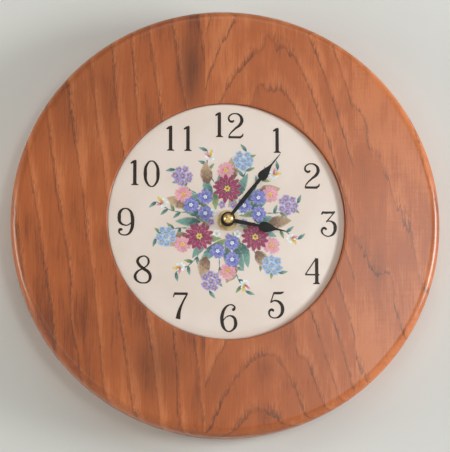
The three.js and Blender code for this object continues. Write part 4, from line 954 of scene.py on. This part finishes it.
def makeNut():  # a hexagon, its corners and bore chamfered by turned cutters
    reach, low, high, bore = nut["flats"] / 2, nut["back"], nut["front"], nut["bore"]
    bm = bmesh.new()
    corner = reach * 2 / math.sqrt(3)
    middle = Matrix.Translation((0, -(low + high) / 2, 0)) @ faceForward
    bmesh.ops.create_cone(bm, cap_ends=True, segments=6, radius1=corner, radius2=corner, depth=high - low,
                          matrix=middle)
    inner = reach - nut["bite"]
    outer = inner + nut["cutterWidth"]
    rise, drop = nut["bite"] * nut["slope"], (outer - inner) * nut["slope"]
    cutters = [turned([(inner, face, 0), (outer, face, 0), (outer, face - side * drop, 0)], nut["steps"])
               for face, side in ((high + rise, 1), (low - rise, -1))]
    top, bottom = high + nut["beyond"], low - nut["beyond"]
    wide, depth = bore + nut["boreEase"], nut["easeDepth"]
    cutters.append(turned([(0, top, 0), (wide, top, 0), (bore, high - depth, 0), (bore, low + depth, 0),
                           (wide, bottom, 0), (0, bottom, 0)], nut["steps"], closed=False))
    bm = cutAway(bm, cutters)
    easeCorners(bm, nut["ease"])
    finishPiece("hexNut", bm, dullBrass, "clock_base", "brass", "hex_nut", sharpAngle=25, flatFaces=True)


bush = dict(bore=2.82, flange=5.5, back=15.4, flangeFront=16, threadBack=17.6, front=31.4, crest=3.97, root=3.5,
            pitch=0.794, land=(0.42, 0.58), mouth=1.2, mouthDepth=0.2, beyond=1, fit=0.02, steps=48)


def makeBush():  # a right-hand helix of one tooth, sawn off flat at both ends, on a flanged neck
    pitch, bore, crest, root = bush["pitch"], bush["bore"], bush["crest"], bush["root"]
    front, threadBack, start = bush["front"], bush["threadBack"], bush["front"] + 2 * pitch
    bm = bmesh.new()
    tooth = [(crest, start - share * pitch, 0) for share in bush["land"]]
    drawProfile(bm, [(root, start, 0), *tooth, (root, start - pitch, 0)], False)
    spin(bm, round((front - threadBack) / pitch) + 4, bush["steps"], climb=pitch / bush["steps"], merge=False)
    bmesh.ops.remove_doubles(bm, verts=bm.verts, dist=mergeGap)
    for depth, side in ((front, -1), (threadBack, 1)):
        sawOff(bm, (0, -depth, 0), (0, side, 0))
    bmesh.ops.recalc_face_normals(bm, faces=bm.faces)
    top, bottom = front + bush["beyond"], threadBack - bush["beyond"]
    hole = turned([(0, top, 0), (bore + bush["mouth"], top, 0), (bore, front - bush["mouthDepth"], 0),
                   (bore, bottom, 0), (0, bottom, 0)], bush["steps"], closed=False)
    bm = cutAway(bm, [hole])
    inner, flange, step, back = bore + bush["fit"], bush["flange"], bush["flangeFront"], bush["back"]
    addPart(bm, turned([(inner, threadBack, 0), (crest, threadBack, 0.1), (crest, step, 0.15), (flange, step, 0.12),
                        (flange, back, 0.12), (inner, back, 0.15)], bush["steps"]))
    finishPiece("threadedNeck", bm, turnedBrass, "clock_base", "brass", "threaded_bush")


turnedBrass = brassMaterial("turnedBrass", brass["polished"])
dullBrass = brassMaterial("dullBrass", brass["dull"])
finishPiece("domedCapNut", turned(brass["capNut"], brass["steps"], closed=False), turnedBrass, "minute_group",
            "brass", "cap_nut")
finishPiece("dialWasher", turned(brass["washer"], brass["steps"]), dullBrass, "clock_base", "brass", "brass_washer")
makeNut()
makeBush()
print("brass ready")


# Finishes of the parts behind: one worn-surface effect, placed with each finish's own values
plainFinish = dict(metal=0.0, wear=0.5, bump=0.00003, bumpShare=0.6, nodes=())
finishes = dict(
    brushedSteel=dict(colour=(178, 180, 184), worn=(120, 118, 116), metal=1.0, rough=(0.24, 0.44),
                      grain=(3.0, 3.0, 0.12), patch=4, wear=0.45, bump=0.00002,
                      nodes=("minute_arbor", "stator", "coil_core", "crystal")),
    zincPlate=dict(colour=(186, 190, 196), worn=(132, 134, 138), metal=1.0, rough=(0.28, 0.5),
                   grain=(2.0, 2.0, 0.2), patch=5, wear=0.6, nodes=("negative_contact", "positive_contact")),
    softRubber=dict(colour=(34, 34, 35), worn=(72, 70, 68), rough=(0.75, 0.92), grain=(0.3, 0.3, 0.3), patch=3,
                    bump=0.00005, nodes=("rubber_washer",)),
    casePlastic=dict(colour=(34, 34, 36), worn=(62, 61, 60), rough=(0.42, 0.6), grain=(0.25, 0.25, 0.25), patch=9,
                     wear=0.4, bump=0.00004),
    gearPlastic=dict(colour=(226, 222, 210), worn=(196, 190, 172), rough=(0.32, 0.5), grain=(0.5, 0.5, 0.5),
                     patch=2.5, bump=0.00002,
                     nodes=("hour_wheel", "motion_wheel", "centre_wheel", "third_wheel", "second_wheel",
                            "intermediate_wheel", "rotor", "mid_plate", "coil_bobbin")),
    darkFerrite=dict(colour=(66, 66, 70), worn=(104, 104, 108), metal=0.4, rough=(0.4, 0.62), grain=(0.2, 0.2, 0.2),
                     patch=1.2, wear=0.6, nodes=("rotor_magnet",)),
    greenBoard=dict(colour=(38, 92, 58), worn=(86, 128, 84), rough=(0.28, 0.46), grain=(0.9, 0.9, 0.9), patch=1.4,
                    wear=0.8, bump=0.00004, nodes=("circuit_board",)),
    blackEpoxy=dict(colour=(24, 24, 25), worn=(54, 52, 50), rough=(0.2, 0.42), grain=(0.6, 0.6, 0.6), patch=1.6,
                    nodes=("chip_cover",)),
)


def buildWorn():
    group, given, out = newGroup("wornSurface", {"Point": "Vector", "Grain": "Vector", "Patch": "Float"},
                                 {"Worn": "Float", "Fine": "Float", "Height": "Float"})

    def cells(vector, detail, roughness=0.5):
        inputs = {"Vector": vector, "Scale": 1.0, "Detail": detail, "Roughness": roughness}
        return addNode(group, "TexNoise", inputs).outputs["Fac"]

    fine = cells(vectorCalc("DIVIDE", given["Point"], given["Grain"]), 3.0)
    size = addNode(group, "CombineXYZ", {axis: given["Patch"] for axis in "XYZ"}).outputs[0]
    patch = vectorCalc("DIVIDE", given["Point"], size)
    cloud = cells(patch, 5.0, 0.6)
    scratch = cells(vectorCalc("MULTIPLY", patch, (9, 9, 1.1)), 2.0)
    worn = calc("MAXIMUM", between(cloud, 0.5, 0.74), between(scratch, 0.68, 0.76, 0, 0.8))
    for value, name in ((worn, "Worn"), (fine, "Fine"), (calc("MULTIPLY_ADD", worn, -0.4, fine), "Height")):
        setSocket(out[name], value)
    return group


wornSurface = buildWorn()
tracks = dict(colour=(120, 150, 96), share=0.8, wander=5, wanderSize=4, perLength=0.55)


def boardTracks(point):  # the share of the tinned tracks on the circuit board
    wander = noise(point, tracks["wanderSize"], detail=1)
    along = calc("MULTIPLY", axes(point)["X"], tracks["perLength"])
    band = calc("FRACT", calc("MULTIPLY_ADD", wander, tracks["wander"], along))
    return calc("MULTIPLY", between(band, 0.1, 0.16), between(band, 0.3, 0.36, tracks["share"], 0))


def wornLooks(point, plan):
    return placeGroup(wornSurface, {"Point": point, "Grain": plan["grain"], "Patch": plan["patch"]})


def finishMaterial(name, plan):
    material, shader, point = newMaterial(name, plan)
    looks = wornLooks(point, plan)
    share = calc("MULTIPLY", looks["Worn"], plan["wear"])
    colour = mixColour(share, plan["colour"], plan["worn"])
    if name == "greenBoard":
        colour = mixColour(boardTracks(point), colour, tracks["colour"])
    return dress(material, shader, plan, colour, looks["Fine"], looks["Height"])


def paintNodes(material, *nodes):
    for node in nodes:
        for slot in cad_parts[node].material_slots:
            slot.material = material


ready = {}
for name, own in finishes.items():
    plan = {**plainFinish, **own}
    ready[name] = finishMaterial(name, plan)
    paintNodes(ready[name], *plan["nodes"])
plastic, zinc = ready["casePlastic"], ready["zincPlate"]

# the second colour is a painted highlight on each wire's crown; the first lies between the turns as painted shade
coil = dict(wire=0.16, colour=(150, 74, 38), bright=(214, 128, 72), metal=0.85, grain=(0.4, 0.4, 0.06), patch=1.5,
            wander=1.5, rough=(0.25, 0.4), bump=0.00004, bumpShare=0.8)


def wireMaterial():  # enamelled wire wound round an upright core, painted lighter on each turn's crown (painted highlight) and darker between turns (painted shade)
    material, shader, point = newMaterial("enamelledWire", coil)
    looks = wornLooks(point, coil)
    turns = calc("MULTIPLY", axes(point)["Z"], fullTurn / coil["wire"])
    crownHighlightAndRelief = calc("SINE", calc("MULTIPLY_ADD", looks["Fine"], coil["wander"], turns))
    crownHighlightAndRelief = calc("MULTIPLY_ADD", crownHighlightAndRelief, 0.5, 0.5)
    # the same wave as the bump: painted highlight on the crowns, painted shade in the grooves
    colour = mixColour(crownHighlightAndRelief, coil["colour"], coil["bright"])
    return dress(material, shader, coil, colour, looks["Fine"], crownHighlightAndRelief)


paintNodes(wireMaterial(), "coil_winding")
print("finishes ready")


# Movement: moulded case and cover with eased edges, knob, cell and hanger
moulded = dict(caseEdge=0.3, hangerEdge=0.14, sharpAngle=25, flatWithin=1)


def mouldNode(name, edge, node, material, slotName):  # a CAD node's shape, merged and with its edges eased
    bm = bmesh.new()
    bm.from_mesh(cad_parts[node].data)
    bmesh.ops.transform(bm, matrix=toFrame.inverted(), verts=bm.verts)
    bmesh.ops.remove_doubles(bm, verts=bm.verts, dist=mergeGap)
    bmesh.ops.dissolve_limit(bm, angle_limit=math.radians(moulded["flatWithin"]), verts=bm.verts, edges=bm.edges)
    easeCorners(bm, edge)
    finishPiece(name, bm, material, "clock_base", slotName, node, sharpAngle=moulded["sharpAngle"], flatFaces=True)


nail = dict(x=18, z=110.7, face=2.2, head=1.8, dome=0.8, shank=0.7, length=12, tip=1.6, grooves=6, firstGroove=1.2,
            groovePitch=0.6, grooveDepth=0.1, steps=32)


def makeNail(name, x, node):
    face, head, shank, dome = nail["face"], nail["head"], nail["shank"], nail["face"] - nail["dome"]
    points = [(0.02, dome, 0), (head / 2, dome + 0.08, 0), (head, face - 0.25, 0.15), (head, face, 0.08),
              (shank, face, 0)]
    for index in range(nail["grooves"]):
        depth, half = face + nail["firstGroove"] + index * nail["groovePitch"], nail["groovePitch"] / 4
        points += [(shank, depth, 0), (shank - nail["grooveDepth"], depth + half, 0), (shank, depth + 2 * half, 0)]
    points += [(shank, face + nail["length"] - nail["tip"], 0), (0.02, face + nail["length"], 0)]
    bm = turned(points, nail["steps"])
    bmesh.ops.translate(bm, vec=(x, 0, nail["z"]), verts=bm.verts)
    finishPiece(name, bm, turnedBrass, "clock_base", "brass", node)


knob = dict(x=11.52, radius=5.6, ridge=0.28, ridges=60, ridged=5.2, profile=[
    (1.05, 3.0, 0.1), (5.6, 3.0, 0.12), (5.6, 1.62, 0), (5.36, 1.4, 0.1), (4.5, 1.4, 0.1), (4.2, 1.85, 0.12),
    (2.5, 1.85, 0.12), (2.2, 1.48, 0.12), (1.05, 1.48, 0.08)])


def makeKnob():  # a turned disc with a dished face, its edge pushed in between the ridges
    bm = turned(knob["profile"], knob["ridges"] * 4)
    for vert in bm.verts:
        if math.hypot(vert.co.x, vert.co.z) > knob["ridged"]:
            angle = math.atan2(vert.co.x, vert.co.z)
            shrink = 1 - knob["ridge"] / knob["radius"] * (0.5 - 0.5 * math.cos(angle * knob["ridges"]))
            vert.co.x *= shrink
            vert.co.z *= shrink
    bmesh.ops.translate(bm, vec=(knob["x"], 0, 0), verts=bm.verts)
    finishPiece("ridgedKnob", bm, ready["gearPlastic"], "motion_group", "gear_plastic", "setting_knob")


cell = dict(depth=8.6, z=-19.5, radius=7.1, end=25.25, shoulder=24.05, lap=0.9, film=0.12, steps=64,
            wrap=(38, 84, 140), band=(196, 198, 200), scuff=(96, 124, 156), bandFrom=15.5, coat=0.4, gloss=0.15,
            patch=3, grain=(0.5, 0.5, 0.5), wear=0.35, rough=(0.28, 0.4), bump=0.00003)


def wrapMaterial():  # printed shrink film: a plain colour with a pale band at the plus end
    material, shader, point = newMaterial("cellWrap", cell)
    looks = wornLooks(point, cell)
    banded = between(axes(point)["X"], cell["bandFrom"], cell["bandFrom"] + 0.2)
    colour = mixColour(banded, cell["wrap"], cell["band"])
    colour = mixColour(calc("MULTIPLY", looks["Worn"], cell["wear"]), colour, cell["scuff"])
    return dress(material, shader, cell, colour, looks["Fine"], looks["Height"])


def makeCell():  # a printed sleeve lapped over a can with a dimpled end and a raised button
    radius, end, shoulder, film = cell["radius"], cell["end"], cell["shoulder"], cell["film"]
    lap, inside = radius - cell["lap"], radius - 2 * film
    sleeve = [(lap, -end, 0), (radius, -end, 0.5), (radius, shoulder, 0.5), (lap, shoulder, 0),
              (lap, shoulder - film, 0), (radius - film, shoulder - film, 0.4), (radius - film, film - end, 0.4),
              (lap, film - end, 0)]
    can = [(0, -end, 0), (4.4, -end, 0.15), (4.7, 0.2 - end, 0.1), (inside, 0.2 - end, 0.2),
           (inside, shoulder - 0.2, 0.2), (4.9, shoulder - 0.2, 0.1), (4.6, shoulder + 0.1, 0.1),
           (2.75, shoulder + 0.15, 0.1), (2.7, end, 0.35), (0, end, 0)]
    lying = Matrix.Translation((0, -cell["depth"], cell["z"])) @ Matrix.Rotation(fullTurn / 4, 4, "Z")
    for name, profile, closed, material, slotName in (("cellSleeve", sleeve, True, wrapMaterial(), "cell_wrap"),
                                                      ("cellCan", can, False, zinc, "steel")):
        bm = turned(profile, cell["steps"], closed)
        bmesh.ops.transform(bm, matrix=lying, verts=bm.verts)
        finishPiece(name, bm, material, "clock_base", slotName, "battery")


coverMarks = dict(
    height=0.22, sink=0.1, depth=1.4, arrowRadius=8.4, arrowHalf=0.26, arrowFrom=-60, arrowTo=75, arrowSteps=8,
    head=2.2, headHalf=0.9, headLift=0.012, signSize=1.5, signHalf=0.3, crossLift=0.003, detail=4,
    signs=(("plus", 19.5, -8.6), ("minus", -19.5, -8.6)),
    pins=((-24, 24), (24, 24), (-24, -7.2), (24, -7.2), (-6, 24)), pinSteps=24,
    pin=[(0, 1.5, 0), (1.3, 1.5, 0), (1.3, 1.25, 0.08), (0, 1.25, 0)])


def markStrokes(bm):  # the strokes of two arrows and two signs; the arrows' heads are drawn straight away
    strokes = []
    reach, halfHead, start = coverMarks["arrowRadius"], coverMarks["headHalf"], coverMarks["arrowFrom"]
    stepAngle = (coverMarks["arrowTo"] - start) / coverMarks["arrowSteps"]
    sweep = [math.radians(start + index * stepAngle) for index in range(coverMarks["arrowSteps"] + 1)]
    for side in (1, -1):
        def knobPoint(angle, distance):
            return knob["x"] + side * distance * math.cos(angle), side * distance * math.sin(angle)

        strokes.append([(*knobPoint(angle, reach), coverMarks["arrowHalf"]) for angle in sweep])
        corners = [knobPoint(sweep[-1], reach - halfHead), knobPoint(sweep[-1], reach + halfHead),
                   knobPoint(sweep[-1] + coverMarks["head"] / reach, reach)]
        bm.faces.new([bm.verts.new((-x, z, coverMarks["headLift"])) for x, z in corners])
    size, half = coverMarks["signSize"], coverMarks["signHalf"]
    for sign, x, z in coverMarks["signs"]:
        strokes.append([(x - size, z, half), (x + size, z, half)])
        if sign == "plus":
            strokes.append([(x, z - size, half), (x, z + size, half)])
    return strokes


def makeCoverMarks():  # raised turning arrows round the knob, signs of the cell's poles, and the cover's pins
    bm = bmesh.new()
    for index, stroke in enumerate(markStrokes(bm)):
        mirrored = [(-x, y, halfWidth) for x, y, halfWidth in stroke]
        addStroke(bm, mirrored, (0, 0, coverMarks["crossLift"] * (index % 2)), coverMarks["detail"])
    bm.normal_update()
    bmesh.ops.remove_doubles(bm, verts=bm.verts, dist=fineGap)
    for face in bm.faces:
        if face.normal.z < 0:
            face.normal_flip()
    bmesh.ops.solidify(bm, geom=bm.faces[:], thickness=coverMarks["height"] + coverMarks["sink"])
    lift = coverMarks["height"] - max(vert.co.z for vert in bm.verts)
    behind = Matrix.Translation((0, -coverMarks["depth"], 0)) @ Matrix.Rotation(fullTurn / 2, 4, "Z") @ faceForward
    bmesh.ops.transform(bm, matrix=behind @ Matrix.Translation((0, 0, lift)), verts=bm.verts)
    bmesh.ops.recalc_face_normals(bm, faces=bm.faces)
    for x, z in coverMarks["pins"]:
        pin = turned(coverMarks["pin"], coverMarks["pinSteps"], closed=False)
        addPart(bm, pin, Matrix.Translation((x, 0, z)))
    cleanUp(bm, fineGap)
    finishPiece("coverMarks", bm, plastic, "clock_base", "case_plastic", merge=False)


mouldNode("movementCase", moulded["caseEdge"], "front_case", plastic, "case_plastic")
mouldNode("movementCover", moulded["caseEdge"], "back_cover", plastic, "case_plastic")
mouldNode("toothedHanger", moulded["hangerEdge"], "sawtooth_hanger", zinc, "steel")
makeNail("hangerNailLeft", -nail["x"], "hanger_nail_left")
makeNail("hangerNailRight", nail["x"], "hanger_nail_right")
makeKnob()
makeCell()
makeCoverMarks()
print("movement ready")
